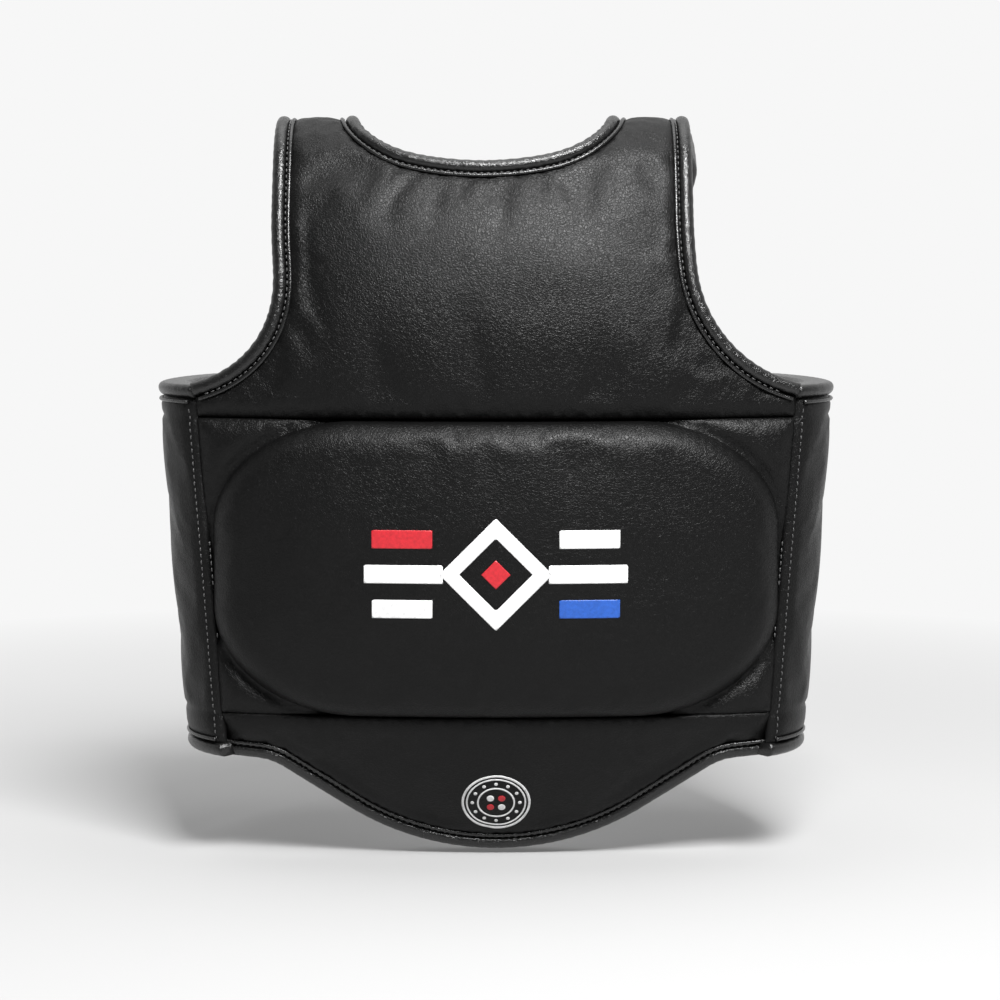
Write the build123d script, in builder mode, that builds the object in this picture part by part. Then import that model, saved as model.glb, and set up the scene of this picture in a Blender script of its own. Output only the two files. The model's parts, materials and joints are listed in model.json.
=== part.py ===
from build123d import *
import os
from math import asin, atan2, cos, degrees, hypot, radians, sin, sqrt, tan

os.makedirs("parts", exist_ok=True)

# Chest protector, millimetres. +Z is up, the front faces -Y, and +X is on the right seen from the front.
# The origin is on the wearer's vertical centre line, level with the middle of the belly pad.

# ---- front panel, side section ----
torso_to_front = 130.0      # wearer's centre line to the belly's outer face
plan_radius = 750.0         # curve of the front across the chest, seen from above
belly_height = 208.0        # chest seam to hem seam
hem_drop = 101.0            # hem seam to the tip of the tongue
hem_tuck = 27.0             # the hem flap leans in under the belly, degrees
chest_radius = 380.0        # the chest leans back on this arc
chest_angle = 28.0
shoulder_radius = 55.0      # outer bend over the shoulder
shoulder_lean = 24.0        # the shoulder pads run down the back at this angle from upright
shoulder_back_length = 100.0

# ---- front panel, outline seen from the front ----
neck_height = 177.0         # lowest point of the neckline above the chest seam
neck_radius = 230.0
neck_angle = 12.0
neck_side_radius = 75.0
neck_side_angle = 40.0
shoulder_half_width = 145.0
armhole_height = 102.0      # the shoulder edge starts to flare here, above the chest seam
armhole_radius = 80.0
armhole_angle = 48.0
armhole_low_radius = 86.6
armhole_low_angle = 27.0
tongue_radius = 185.0
tongue_angle = 33.8
tongue_side_length = 55.0
hem_corner_radius = 40.0
hem_rise = 4.0              # slope left in the hem where it meets the wing, degrees

# ---- oval belly pad ----
oval_width = 394.0
oval_height = 205.0
oval_stand = 16.0
oval_corner_width = 100.0    # its corners are quarter ellipses
oval_corner_height = 75.0

# ---- side wings ----
fold_top_half = 210.5       # half distance between the folds, level with the top of the wings
fold_bottom_half = 191.5
wing_rise = 21.0            # top edge above the chest seam
wing_drop = 29.0            # bottom edge below the hem seam
wing_start_heading = 35.0   # the wing leaves the fold at this angle to the left-right line
wing_end_heading = 150.0
wing_front_radius = 68.0
wing_side_radius = 175.0
wing_corner_radius = 55.0
rear_clearance = 3.0        # the side outline passes this far behind the wing's rear end
hinge_depth = 6.0           # fold line below the outer face
fold_clearance = 0.4
front_bevel = 30.0
wing_bevel = 44.0

# ---- layers ----
cover_thickness = 1.6
lining_thickness = 1.0
belly_thickness = 30.0
chest_thickness = 22.0
hem_thickness = 22.0
wing_thickness = 22.0
binding_width = 6.0
binding_stand = 1.0
binding_back_stand = 0.6    # the binding stands this proud of the lining
piping_width = 3.0
piping_stand = 1.6

# ---- printed marks ----
print_thickness = 0.4
mark_width = 180.0
bar_height = 12.6
bar_pitch = 23.9
bar_length = 54.0           # the middle bars
bar_shortening = 12.6       # the outer bars are this much shorter
bar_shift = 5.4             # and end this much nearer the middle
diamond_side = 54.6
diamond_hole = 35.2
badge_diameter = 48.6
badge_drop = 62.0           # badge centre below the hem seam

# ---- waist strap ----
strap_height = 80.0
strap_thickness = 2.5
strap_bow = 15.8            # the strap bows back this far between the wings
lap_angle = 20.0            # how far the elastic laps on the right wing, along its curve
tab_angle = 6.0
hook_thickness = 1.8
loop_thickness = 1.8
grip_clearance = 0.4
patch_margin = 4.0          # the strap stands this far past its patches, above and below
anchor_margin = 5.0         # the sewn anchor stands this far past the strap
anchor_angle = 2.0          # and this far past it round the wing, degrees
root_gap = 6.0              # the strap starts this far in from the left wing's end

# ---- back harness ----
ring_wire = 4.0
ring_pitch = 18.0           # upper bar to lower bar
ring_corner = 5.0
keeper_run = 8.0            # pad end to the ring's upper bar
ring_clearance = 0.3
webbing_width = 38.0
webbing_thickness = 1.8
harness_spacing = 78.0      # each strap's centre from the middle
back_shoulder_inner = 91.0  # neck side of the shoulder pads where they pass over the top
shoulder_end_half = 27.0
back_pad_top = 92.0         # above the waist strap's middle
back_pad_half_width = 102.0
back_pad_upright = 30.0     # height of the wide top part
back_tail_half_width = 27.0
back_pad_thickness = 14.0
back_corner_radius = 10.0
tail_patch_margin = 1.5     # the hook patch stays this far inside the tail's binding
tail_gap = 1.6              # elastic to the tail's hook patch
strap_entry = 6.0           # each strap runs this far in past the pad's top edge
flap_stub = 5.0
flap_length = 58.0
flap_hook_length = 43.0
flap_hook_margin = 2.0
flap_clearance = 0.3

# ---- worked out from the sizes above ----
belly_top = belly_height / 2
belly_bottom = -belly_height / 2
front_axis_y = plan_radius - torso_to_front
lap_gap = hook_thickness + loop_thickness + grip_clearance
wing_top = belly_top + wing_rise
wing_bottom = belly_bottom - wing_drop
cut_reach = 400.0           # past every face of the model
overrun = 20.0              # outlines run this far past a panel before they are trimmed
fold_reach = 75.0           # past the front and the start of the wing on both sides of a fold
chest_centre = (plan_radius - chest_radius, belly_top)
chest_end_r = chest_centre[0] + chest_radius * cos(radians(chest_angle))
chest_end_z = chest_centre[1] + chest_radius * sin(radians(chest_angle))
shoulder_centre = (
    chest_end_r - shoulder_radius * cos(radians(chest_angle)),
    chest_end_z - shoulder_radius * sin(radians(chest_angle)),
)
shoulder_top = shoulder_centre[1] + shoulder_radius
seam_radius = shoulder_centre[0]
shoulder_middle = (back_shoulder_inner + shoulder_half_width) / 2
shoulder_y = front_axis_y - sqrt(seam_radius**2 - shoulder_middle**2)
sweep_half = degrees(asin((fold_top_half + 3 * overrun) / plan_radius))
front_axis = Axis((0, front_axis_y, 0), (0, 0, 1))
section_plane = Plane(
    origin=(0, front_axis_y, 0),
    x_dir=(-sin(radians(sweep_half)), -cos(radians(sweep_half)), 0),
    z_dir=(-cos(radians(sweep_half)), sin(radians(sweep_half)), 0),
)


# ---- side sections of the front: radius from the plan centre, height ----
def turn(radius, angle):
    """A step of this length at this angle."""
    return (radius * cos(radians(angle)), radius * sin(radians(angle)))


def chest_section(outer, inner):
    """The chest between two depths under its outer face, up to the seam on top of the shoulder."""
    rise = 90 - chest_angle
    with BuildSketch(section_plane) as section:
        with BuildLine():
            front = CenterArc(chest_centre, chest_radius - outer, 0, chest_angle)
            top = CenterArc(shoulder_centre, shoulder_radius - outer, chest_angle, rise)
            under = CenterArc(shoulder_centre, shoulder_radius - inner, chest_angle, rise)
            back = CenterArc(chest_centre, chest_radius - inner, 0, chest_angle)
            Line(front @ 0, back @ 0)
            Line(top @ 1, under @ 1)
        make_face()
    return section.sketch


def belly_section(outer, inner):
    """The belly between two depths: an upright slab from seam to seam."""
    with BuildSketch(section_plane) as section:
        with Locations((plan_radius - (outer + inner) / 2, 0)):
            Rectangle(inner - outer, belly_height)
    return section.sketch


def hem_section(outer, inner):
    """The hem flap between two depths, leaning in below the hem seam."""
    lean = radians(hem_tuck)
    fall = hem_drop + overrun
    outer_r = plan_radius - outer / cos(lean)
    inner_r = plan_radius - inner / cos(lean)
    with BuildSketch(section_plane) as section:
        with BuildLine():
            Polyline(
                (outer_r, belly_bottom),
                (inner_r, belly_bottom),
                (inner_r - fall * tan(lean), belly_bottom - fall),
                (outer_r - fall * tan(lean), belly_bottom - fall),
                close=True,
            )
        make_face()
    return section.sketch


# ---- the front's outline; an inset moves every edge into the panel by that much ----
def neck_lines(inset):
    """The neckline from the middle to its right-hand end, above the shoulder."""
    centre = (0, belly_top + neck_height + neck_radius)
    first = CenterArc(centre, neck_radius + inset, -90, neck_angle)
    step = turn(neck_radius - neck_side_radius, -90 + neck_angle)
    side_centre = (centre[0] + step[0], centre[1] + step[1])
    second = CenterArc(side_centre, neck_side_radius + inset, -90 + neck_angle, neck_side_angle)
    heading = radians(neck_angle + neck_side_angle)
    run = (shoulder_top + overrun - (second @ 1).Y) / sin(heading)
    end = ((second @ 1).X + run * cos(heading), (second @ 1).Y + run * sin(heading))
    Line(second @ 1, end)
    return first @ 0, end


def armhole_lines(inset):
    """The shoulder's straight edge and the armhole, from above the shoulder out past the fold."""
    edge_x = shoulder_half_width - inset
    start_z = belly_top + armhole_height
    top = (edge_x, shoulder_top + overrun)
    Line(top, (edge_x, start_z))
    centre = (shoulder_half_width + armhole_radius, start_z)
    CenterArc(centre, armhole_radius + inset, 180, armhole_angle)
    step = turn(armhole_low_radius - armhole_radius, armhole_angle)
    low_centre = (centre[0] + step[0], centre[1] + step[1])
    low = CenterArc(
        low_centre, armhole_low_radius + inset, 180 + armhole_angle, armhole_low_angle
    )
    heading = radians(armhole_angle + armhole_low_angle - 90)
    run = (fold_top_half + 2 * overrun - (low @ 1).X) / cos(heading)
    end = (fold_top_half + 2 * overrun, (low @ 1).Y + run * sin(heading))
    Line(low @ 1, end)
    return top, end


def hem_lines(inset):
    """The hem from the tongue's tip to its right-hand end, past the fold."""
    centre = (0, belly_bottom - hem_drop + tongue_radius)
    tongue = CenterArc(centre, tongue_radius - inset, -90, tongue_angle)
    along = turn(tongue_side_length, tongue_angle)
    side_end = ((tongue @ 1).X + along[0], (tongue @ 1).Y + along[1])
    Line(tongue @ 1, side_end)
    down = turn(hem_corner_radius + inset, tongue_angle - 90)
    corner_centre = (side_end[0] + down[0], side_end[1] + down[1])
    corner = CenterArc(
        corner_centre, hem_corner_radius + inset, 90 + tongue_angle, hem_rise - tongue_angle
    )
    run = fold_top_half + 2 * overrun - (corner @ 1).X
    end = (fold_top_half + 2 * overrun, (corner @ 1).Y + run * tan(radians(hem_rise)))
    Line(corner @ 1, end)
    return tongue @ 0, end


def front_outline(inset):
    """The whole front seen from ahead. Its sides run on past the folds, where they are cut later."""
    with BuildSketch(Plane.XZ) as outline:
        with BuildLine():
            neck_start, neck_end = neck_lines(inset)
            armhole_top, armhole_end = armhole_lines(inset)
            hem_start, hem_end = hem_lines(inset)
            Line(neck_end, armhole_top)
            Line(armhole_end, hem_end)
            Line(hem_start, neck_start)
        make_face()
        mirror(about=Plane.YZ)
    return outline.sketch


def edge_outline(inset, width, middle, size):
    """A strip of this width along the front's edge, inside a box seen from ahead."""
    with BuildSketch(Plane.XZ) as strip:
        add(front_outline(inset))
        add(front_outline(inset + width), mode=Mode.SUBTRACT)
        with Locations(middle):
            Rectangle(size[0], size[1], mode=Mode.INTERSECT)
    return strip.sketch


def oval_outline(inset):
    """The belly pad: a rectangle whose corners are quarter ellipses."""
    corner_x = oval_width / 2 - oval_corner_width
    corner_z = oval_height / 2 - oval_corner_height
    with BuildSketch(Plane.XZ) as oval:
        for x in (-corner_x, corner_x):
            for z in (-corner_z, corner_z):
                with Locations((x, z)):
                    Ellipse(oval_corner_width - inset, oval_corner_height - inset)
        Rectangle(2 * corner_x, oval_height - 2 * inset)
        Rectangle(oval_width - 2 * inset, 2 * corner_z)
    return oval.sketch


# ---- the folds and the wings, seen from above ----
def fold_point(side, z):
    """Where the fold crosses the outer face at this height."""
    top_y = front_axis_y - sqrt(plan_radius**2 - fold_top_half**2)
    bottom_y = front_axis_y - sqrt(plan_radius**2 - fold_bottom_half**2)
    share = (z - wing_bottom) / (wing_top - wing_bottom)
    x = fold_bottom_half + share * (fold_top_half - fold_bottom_half)
    y = bottom_y + share * (top_y - bottom_y)
    return (side * x, y)


def fold_direction(side):
    """The fold line's direction, upwards."""
    top = fold_point(side, wing_top)
    bottom = fold_point(side, wing_bottom)
    return Vector(top[0] - bottom[0], top[1] - bottom[1], wing_top - wing_bottom).normalized()


def rise_along(side, height):
    """The length along the fold's direction that climbs this height."""
    return height / fold_direction(side).Z


def wing_point(side, heading, depth, z):
    """The wing's point where its curve runs at this heading, this far under its outer face."""
    fold_x, fold_y = fold_point(1, z)
    back = turn(wing_front_radius, wing_start_heading - 90)
    centre_x = fold_x - back[0]
    centre_y = fold_y - back[1]
    radius = wing_front_radius
    if heading > 90:
        centre_x = centre_x + wing_front_radius - wing_side_radius
        radius = wing_side_radius
    out = turn(radius - depth, heading - 90)
    return (side * (centre_x + out[0]), centre_y + out[1])


def wing_arc(side, start, end, depth, z):
    """One arc of the wing's curve, at one depth."""
    middle = (start + end) / 2
    return ThreePointArc(
        wing_point(side, start, depth, z),
        wing_point(side, middle, depth, z),
        wing_point(side, end, depth, z),
    )


def wing_section(side, outer, inner, end_inset):
    """The wing between two depths, from the fold to its rear end, at the wing's bottom."""
    end_heading = wing_end_heading - degrees(end_inset / wing_side_radius)
    z = wing_bottom
    with BuildSketch(Plane.XY.offset(z)) as section:
        with BuildLine():
            first = wing_arc(side, wing_start_heading, 90, outer, z)
            second = wing_arc(side, 90, end_heading, outer, z)
            third = wing_arc(side, 90, end_heading, inner, z)
            fourth = wing_arc(side, wing_start_heading, 90, inner, z)
            Line(first @ 0, fourth @ 0)
            Line(second @ 1, third @ 1)
        make_face()
    return section.sketch


def lap_section(side, start, end, outer, inner, z):
    """A patch that follows the wing's outer face between two headings."""
    with BuildSketch(Plane.XY.offset(z)) as section:
        with BuildLine():
            outside = wing_arc(side, start, end, outer, z)
            inside = wing_arc(side, start, end, inner, z)
            Line(outside @ 0, inside @ 0)
            Line(outside @ 1, inside @ 1)
        make_face()
    return section.sketch


def wing_side_outline(inset):
    """The wing seen from the side, with its rear corners rounded."""
    rear = wing_point(1, wing_end_heading, 0, 0)[1] + rear_clearance - inset
    front = -torso_to_front
    with BuildSketch(Plane.YZ) as outline:
        with Locations(((rear + front) / 2, (wing_top + wing_bottom) / 2)):
            Rectangle(rear - front, wing_top - wing_bottom - 2 * inset)
        rear_corners = outline.vertices().group_by(Axis.X)[-1]
        fillet(rear_corners, wing_corner_radius - inset)
    return outline.sketch


def fold_cut(side, bevel, towards):
    """What lies past the fold plane, towards the wing (1) or the front (-1), beside the hinge line."""
    z = belly_bottom - hem_drop - 2 * overrun
    fold_x, fold_y = fold_point(side, z)
    hinge_y = fold_y + hinge_depth
    half_gap = fold_clearance / 2
    lip = hinge_depth + piping_stand + fold_clearance
    edge = side * towards
    near = fold_x - edge * half_gap
    bevelled = near - edge * lip * tan(radians(bevel))
    far = fold_x + edge * fold_reach
    with BuildSketch(Plane.XY.offset(z)) as cut:
        with BuildLine():
            Polyline(
                (near, hinge_y + fold_reach),
                (near, hinge_y),
                (bevelled, hinge_y - lip),
                (bevelled, hinge_y - fold_reach),
                (far, hinge_y - fold_reach),
                (far, hinge_y + fold_reach),
                close=True,
            )
        make_face()
    return cut.sketch


def cut_folds():
    """Cut the part being built at both folds, leaving the front."""
    for side in (-1, 1):
        extrude(
            fold_cut(side, front_bevel, 1),
            amount=rise_along(side, 2 * cut_reach),
            dir=fold_direction(side),
            mode=Mode.SUBTRACT,
        )


def sweep_front(section, outline):
    """Sweep a side section round the plan curve, and trim it to an outline seen from ahead."""
    revolve(section, axis=front_axis, revolution_arc=2 * sweep_half)
    extrude(outline, amount=cut_reach, both=True, mode=Mode.INTERSECT)


def finish(builder, label):
    """Name the sub-part and write it."""
    builder.part.label = label
    export_step(builder.part, f"parts/{label}.step")
    print(label)


# ---- chest ----
with BuildPart() as chest_cover:
    sweep_front(chest_section(0, cover_thickness), front_outline(binding_width))
    cut_folds()
finish(chest_cover, "chest_cover")

with BuildPart() as chest_foam:
    sweep_front(
        chest_section(cover_thickness, chest_thickness - lining_thickness),
        front_outline(binding_width),
    )
    cut_folds()
finish(chest_foam, "chest_foam")

with BuildPart() as chest_lining:
    sweep_front(
        chest_section(chest_thickness - lining_thickness, chest_thickness),
        front_outline(binding_width),
    )
    cut_folds()
finish(chest_lining, "chest_lining")

# ---- belly ----
with BuildPart() as belly_cover:
    sweep_front(belly_section(0, cover_thickness), front_outline(binding_width))
    cut_folds()
finish(belly_cover, "belly_cover")

with BuildPart() as belly_foam:
    sweep_front(
        belly_section(cover_thickness, belly_thickness - lining_thickness),
        front_outline(binding_width),
    )
    cut_folds()
finish(belly_foam, "belly_foam")

with BuildPart() as belly_lining:
    sweep_front(
        belly_section(belly_thickness - lining_thickness, belly_thickness),
        front_outline(binding_width),
    )
    cut_folds()
finish(belly_lining, "belly_lining")

# ---- oval belly pad: a leather dish over its own foam ----
with BuildPart() as target_foam:
    sweep_front(
        belly_section(cover_thickness - oval_stand, 0), oval_outline(cover_thickness)
    )
finish(target_foam, "target_foam")

with BuildPart() as target_cover:
    sweep_front(belly_section(-oval_stand, 0), oval_outline(0))
    add(target_foam.part, mode=Mode.SUBTRACT)
finish(target_cover, "target_cover")

# a plain printed mark of bars beside an open diamond, and a plain round badge
with BuildSketch(Plane.XZ) as mark_shape:
    for row in (-1, 0, 1):
        length = bar_length - bar_shortening * abs(row)
        bar_x = mark_width / 2 - length / 2 - bar_shift * abs(row)
        for side in (-1, 1):
            with Locations((side * bar_x, row * bar_pitch)):
                Rectangle(length, bar_height)
    Rectangle(diamond_side, diamond_side, rotation=45)
    Rectangle(diamond_hole, diamond_hole, rotation=45, mode=Mode.SUBTRACT)

with BuildPart() as target_mark:
    sweep_front(belly_section(-oval_stand - print_thickness, -oval_stand), mark_shape.sketch)
finish(target_mark, "target_mark")

# ---- hem flap ----
with BuildPart() as hem_cover:
    sweep_front(hem_section(0, cover_thickness), front_outline(binding_width))
    cut_folds()
finish(hem_cover, "hem_cover")

with BuildPart() as hem_foam:
    sweep_front(
        hem_section(cover_thickness, hem_thickness - lining_thickness),
        front_outline(binding_width),
    )
    cut_folds()
finish(hem_foam, "hem_foam")

with BuildPart() as hem_lining:
    sweep_front(
        hem_section(hem_thickness - lining_thickness, hem_thickness),
        front_outline(binding_width),
    )
    cut_folds()
finish(hem_lining, "hem_lining")

with BuildSketch(Plane.XZ) as badge_shape:
    with Locations((0, belly_bottom - badge_drop)):
        Ellipse(badge_diameter / 2, badge_diameter / 2 * cos(radians(hem_tuck)))

with BuildPart() as badge:
    sweep_front(hem_section(-print_thickness, 0), badge_shape.sketch)
finish(badge, "badge")

# ---- rolled bindings and pipings along the front's edges ----
neck_window = (
    (0, shoulder_top),
    (2 * (shoulder_half_width - overrun), shoulder_top - belly_top),
)
hem_window = (
    (0, belly_bottom - hem_drop),
    (4 * fold_top_half, 2 * (hem_drop - binding_width)),
)


def armhole_window(side):
    """A box seen from ahead that holds one armhole's edge."""
    inner = shoulder_half_width - overrun
    width = fold_top_half
    height = shoulder_top - belly_top + overrun
    return ((side * (inner + width / 2), belly_top + height / 2), (width, height))


def chest_edge(outer, inner, inset, width, window):
    """A strip along an edge of the chest, between two depths."""
    sweep_front(chest_section(outer, inner), edge_outline(inset, width, *window))
    cut_folds()


def hem_edge(outer, inner, inset, width):
    """A strip along the hem, between two depths."""
    sweep_front(hem_section(outer, inner), edge_outline(inset, width, *hem_window))
    cut_folds()


with BuildPart() as neck_binding:
    chest_edge(-binding_stand, chest_thickness + binding_back_stand, 0, binding_width, neck_window)
finish(neck_binding, "neck_binding")

with BuildPart() as neck_piping:
    chest_edge(-piping_stand, 0, binding_width, piping_width, neck_window)
finish(neck_piping, "neck_piping")

with BuildPart() as hem_binding:
    hem_edge(-binding_stand, hem_thickness + binding_back_stand, 0, binding_width)
finish(hem_binding, "hem_binding")

with BuildPart() as hem_piping:
    hem_edge(-piping_stand, 0, binding_width, piping_width)
finish(hem_piping, "hem_piping")

for name, side in (("left", -1), ("right", 1)):
    with BuildPart() as armhole_binding:
        chest_edge(
            -binding_stand, chest_thickness + binding_back_stand, 0, binding_width, armhole_window(side)
        )
    finish(armhole_binding, f"{name}_armhole_binding")

    with BuildPart() as armhole_piping:
        chest_edge(-piping_stand, 0, binding_width, piping_width, armhole_window(side))
    finish(armhole_piping, f"{name}_armhole_piping")


# ---- shoulder pads over the top and down the back, drawn from the side ----
pad_turn = 90 - shoulder_lean
pad_down = Vector(0, sin(radians(shoulder_lean)), -cos(radians(shoulder_lean)))
pad_out = Vector(0, cos(radians(shoulder_lean)), sin(radians(shoulder_lean)))
pad_start = Vector(0, shoulder_y, shoulder_centre[1]) + pad_out * shoulder_radius


def shoulder_section(outer, inner, end_inset):
    """The shoulder pad from the side, between two depths, from ahead of its seam to its end."""
    length = shoulder_back_length - end_inset
    centre = (shoulder_y, shoulder_centre[1])
    step = (length * pad_down.Y, length * pad_down.Z)
    with BuildSketch(Plane.YZ) as section:
        with BuildLine():
            top = CenterArc(centre, shoulder_radius - outer, shoulder_lean, pad_turn + overrun)
            under = CenterArc(centre, shoulder_radius - inner, shoulder_lean, pad_turn + overrun)
            outer_end = ((top @ 0).X + step[0], (top @ 0).Y + step[1])
            inner_end = ((under @ 0).X + step[0], (under @ 0).Y + step[1])
            Line(top @ 1, under @ 1)
            Line(top @ 0, outer_end)
            Line(under @ 0, inner_end)
            Line(outer_end, inner_end)
        make_face()
    return section.sketch


pad_end = pad_start + pad_down * shoulder_back_length
pad_end_low = pad_end.Z - chest_thickness


def shoulder_outline(side, inset):
    """The shoulder pad seen from behind: straight over the top, then leaning in to the strap."""
    turn_z = belly_top + neck_height
    with BuildSketch(Plane.XZ) as outline:
        with BuildLine():
            Polyline(
                (side * (back_shoulder_inner + inset), shoulder_top + overrun),
                (side * (shoulder_half_width - inset), shoulder_top + overrun),
                (side * (shoulder_half_width - inset), turn_z),
                (side * (harness_spacing + shoulder_end_half - inset), pad_end_low),
                (side * (harness_spacing - shoulder_end_half + inset), pad_end_low),
                (side * (back_shoulder_inner + inset), turn_z),
                close=True,
            )
        make_face()
    return outline.sketch


def shoulder_layer(side, outer, inner, inset):
    """One layer of a shoulder pad, cut back to the seam where the chest ends."""
    extrude(shoulder_section(outer, inner, inset), amount=cut_reach, both=True)
    extrude(shoulder_outline(side, inset), amount=cut_reach, both=True, mode=Mode.INTERSECT)
    with Locations((0, front_axis_y, shoulder_top)):
        Cylinder(seam_radius, cut_reach, mode=Mode.INTERSECT)


for name, side in (("left", -1), ("right", 1)):
    with BuildPart() as shoulder_cover:
        shoulder_layer(side, 0, cover_thickness, binding_width)
    finish(shoulder_cover, f"{name}_shoulder_cover")

    with BuildPart() as shoulder_foam:
        shoulder_layer(side, cover_thickness, chest_thickness, binding_width)
    finish(shoulder_foam, f"{name}_shoulder_foam")

    with BuildPart() as shoulder_core:
        shoulder_layer(side, -binding_stand, chest_thickness + 2 * binding_back_stand, binding_width)

    with BuildPart() as shoulder_binding:
        shoulder_layer(side, -binding_stand, chest_thickness + binding_back_stand, 0)
        add(shoulder_core.part, mode=Mode.SUBTRACT)
    finish(shoulder_binding, f"{name}_shoulder_binding")


# ---- wings ----
def wing_layer(side, outer, inner, inset):
    """One layer of a wing, swept up along the fold and trimmed to its side outline and the fold."""
    extrude(
        wing_section(side, outer, inner, inset),
        amount=rise_along(side, wing_top - wing_bottom),
        dir=fold_direction(side),
    )
    extrude(wing_side_outline(inset), amount=cut_reach, both=True, mode=Mode.INTERSECT)
    extrude(
        fold_cut(side, wing_bevel, -1),
        amount=rise_along(side, 2 * cut_reach),
        dir=fold_direction(side),
        mode=Mode.SUBTRACT,
    )


for name, side in (("left", -1), ("right", 1)):
    with BuildPart() as wing_cover:
        wing_layer(side, 0, cover_thickness, binding_width)
    finish(wing_cover, f"{name}_wing_cover")

    with BuildPart() as wing_foam:
        wing_layer(side, cover_thickness, wing_thickness - lining_thickness, binding_width)
    finish(wing_foam, f"{name}_wing_foam")

    with BuildPart() as wing_lining:
        wing_layer(side, wing_thickness - lining_thickness, wing_thickness, binding_width)
    finish(wing_lining, f"{name}_wing_lining")

    with BuildPart() as wing_core:
        wing_layer(side, -binding_stand, wing_thickness + 2 * binding_back_stand, binding_width)

    with BuildPart() as wing_binding:
        wing_layer(side, -binding_stand, wing_thickness + binding_back_stand, 0)
        add(wing_core.part, mode=Mode.SUBTRACT)
    finish(wing_binding, f"{name}_wing_binding")

    with BuildPart() as piping_core:
        wing_layer(side, -2 * piping_stand, 0, binding_width + piping_width)

    with BuildPart() as wing_piping:
        wing_layer(side, -piping_stand, 0, binding_width)
        add(piping_core.part, mode=Mode.SUBTRACT)
    finish(wing_piping, f"{name}_wing_piping")


# ---- waist strap: sewn to the left wing, gripping the right wing ----
strap_low = -strap_height / 2
strap_high = strap_height / 2
lap_end = wing_end_heading - lap_angle
# the wing's rear edge is cut slantwise to its curve, so its piping reaches in twice as far
edge_angle = degrees(2 * (binding_width + piping_width) / wing_side_radius)


def strap_ends(z):
    """The strap's inner corners at this height: by the left wing's end, the middle, the right wing."""
    right = wing_point(1, wing_end_heading, -lap_gap, z)
    left = (-right[0] + root_gap, right[1])
    middle = (0, wing_point(1, wing_end_heading, -lap_gap, 0)[1] + strap_bow)
    return left, middle, right


def elastic_section(z):
    """The elastic at this height: across the back, then round the right wing."""
    left, middle, right = strap_ends(z)
    outer_right = wing_point(1, wing_end_heading, -lap_gap - strap_thickness, z)
    outer_left = (left[0], left[1] + strap_thickness)
    outer_middle = (middle[0], middle[1] + strap_thickness)
    with BuildSketch(Plane.XY.offset(z)) as section:
        with BuildLine():
            ThreePointArc(left, middle, right)
            ThreePointArc(outer_left, outer_middle, outer_right)
            inside = wing_arc(1, wing_end_heading, lap_end, -lap_gap, z)
            outside = wing_arc(1, wing_end_heading, lap_end, -lap_gap - strap_thickness, z)
            Line(inside @ 1, outside @ 1)
            Line(left, outer_left)
        make_face()
    return section.sketch


def root_section(z):
    """The elastic's sewn end on the left wing, reaching out to where the strap bends."""
    left = strap_ends(z)[0]
    stop = left[0] - grip_clearance
    inner_end = wing_point(-1, wing_end_heading, -lap_gap, z)
    outer_end = wing_point(-1, wing_end_heading, -lap_gap - strap_thickness, z)
    start = wing_end_heading - lap_angle
    with BuildSketch(Plane.XY.offset(z)) as section:
        with BuildLine():
            inside = wing_arc(-1, start, wing_end_heading, -lap_gap, z)
            outside = wing_arc(-1, start, wing_end_heading, -lap_gap - strap_thickness, z)
            Line(inside @ 0, outside @ 0)
            Line(inner_end, (stop, left[1]))
            Line((stop, left[1]), (stop, left[1] + strap_thickness))
            Line((stop, left[1] + strap_thickness), outer_end)
        make_face()
    return section.sketch


def patch(side, start, end, outer, inner, height):
    """A patch on the wing's outer face, level with the strap's middle."""
    extrude(
        lap_section(side, start, end, outer, inner, -height / 2),
        amount=rise_along(side, height),
        dir=fold_direction(side),
    )


with BuildPart() as waist_elastic:
    loft([elastic_section(strap_low), elastic_section(strap_high)], ruled=True)
finish(waist_elastic, "waist_elastic")

with BuildPart() as waist_root:
    loft([root_section(strap_low), root_section(strap_high)], ruled=True)
finish(waist_root, "waist_root")

with BuildPart() as waist_tab:
    patch(1, lap_end, lap_end - tab_angle, -lap_gap - strap_thickness, -lap_gap, strap_height)
finish(waist_tab, "waist_tab")

with BuildPart() as waist_hook_patch:
    patch(
        1,
        wing_end_heading - edge_angle,
        lap_end,
        -lap_gap,
        hook_thickness - lap_gap,
        strap_height - 2 * patch_margin,
    )
finish(waist_hook_patch, "waist_hook_patch")

with BuildPart() as waist_loop_patch:
    patch(
        1,
        wing_end_heading - edge_angle,
        lap_end - 2 * tab_angle,
        -loop_thickness,
        0,
        strap_height - 2 * patch_margin,
    )
finish(waist_loop_patch, "waist_loop_patch")

with BuildPart() as waist_anchor:
    patch(
        -1,
        wing_end_heading - lap_angle - anchor_angle,
        wing_end_heading - edge_angle,
        -lap_gap,
        0,
        strap_height + 2 * anchor_margin,
    )
finish(waist_anchor, "waist_anchor")


# ---- back pad, level with the waist strap and just inside it ----
back_face_y = strap_ends(0)[1][1] - tail_gap - hook_thickness
back_pad_bottom = strap_low


def back_outline(inset):
    """The back pad: a wide top for both straps, and a narrow tail inside the waist strap."""
    waist = back_pad_top - back_pad_upright
    with BuildSketch(Plane.XZ) as outline:
        with BuildLine():
            Polyline(
                (-back_pad_half_width, back_pad_top),
                (back_pad_half_width, back_pad_top),
                (back_pad_half_width, waist),
                (back_tail_half_width, strap_high),
                (back_tail_half_width, back_pad_bottom),
                (-back_tail_half_width, back_pad_bottom),
                (-back_tail_half_width, strap_high),
                (-back_pad_half_width, waist),
                close=True,
            )
        make_face()
        fillet(outline.vertices(), back_corner_radius)
        offset(amount=-inset, mode=Mode.REPLACE)
    return outline.sketch


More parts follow.
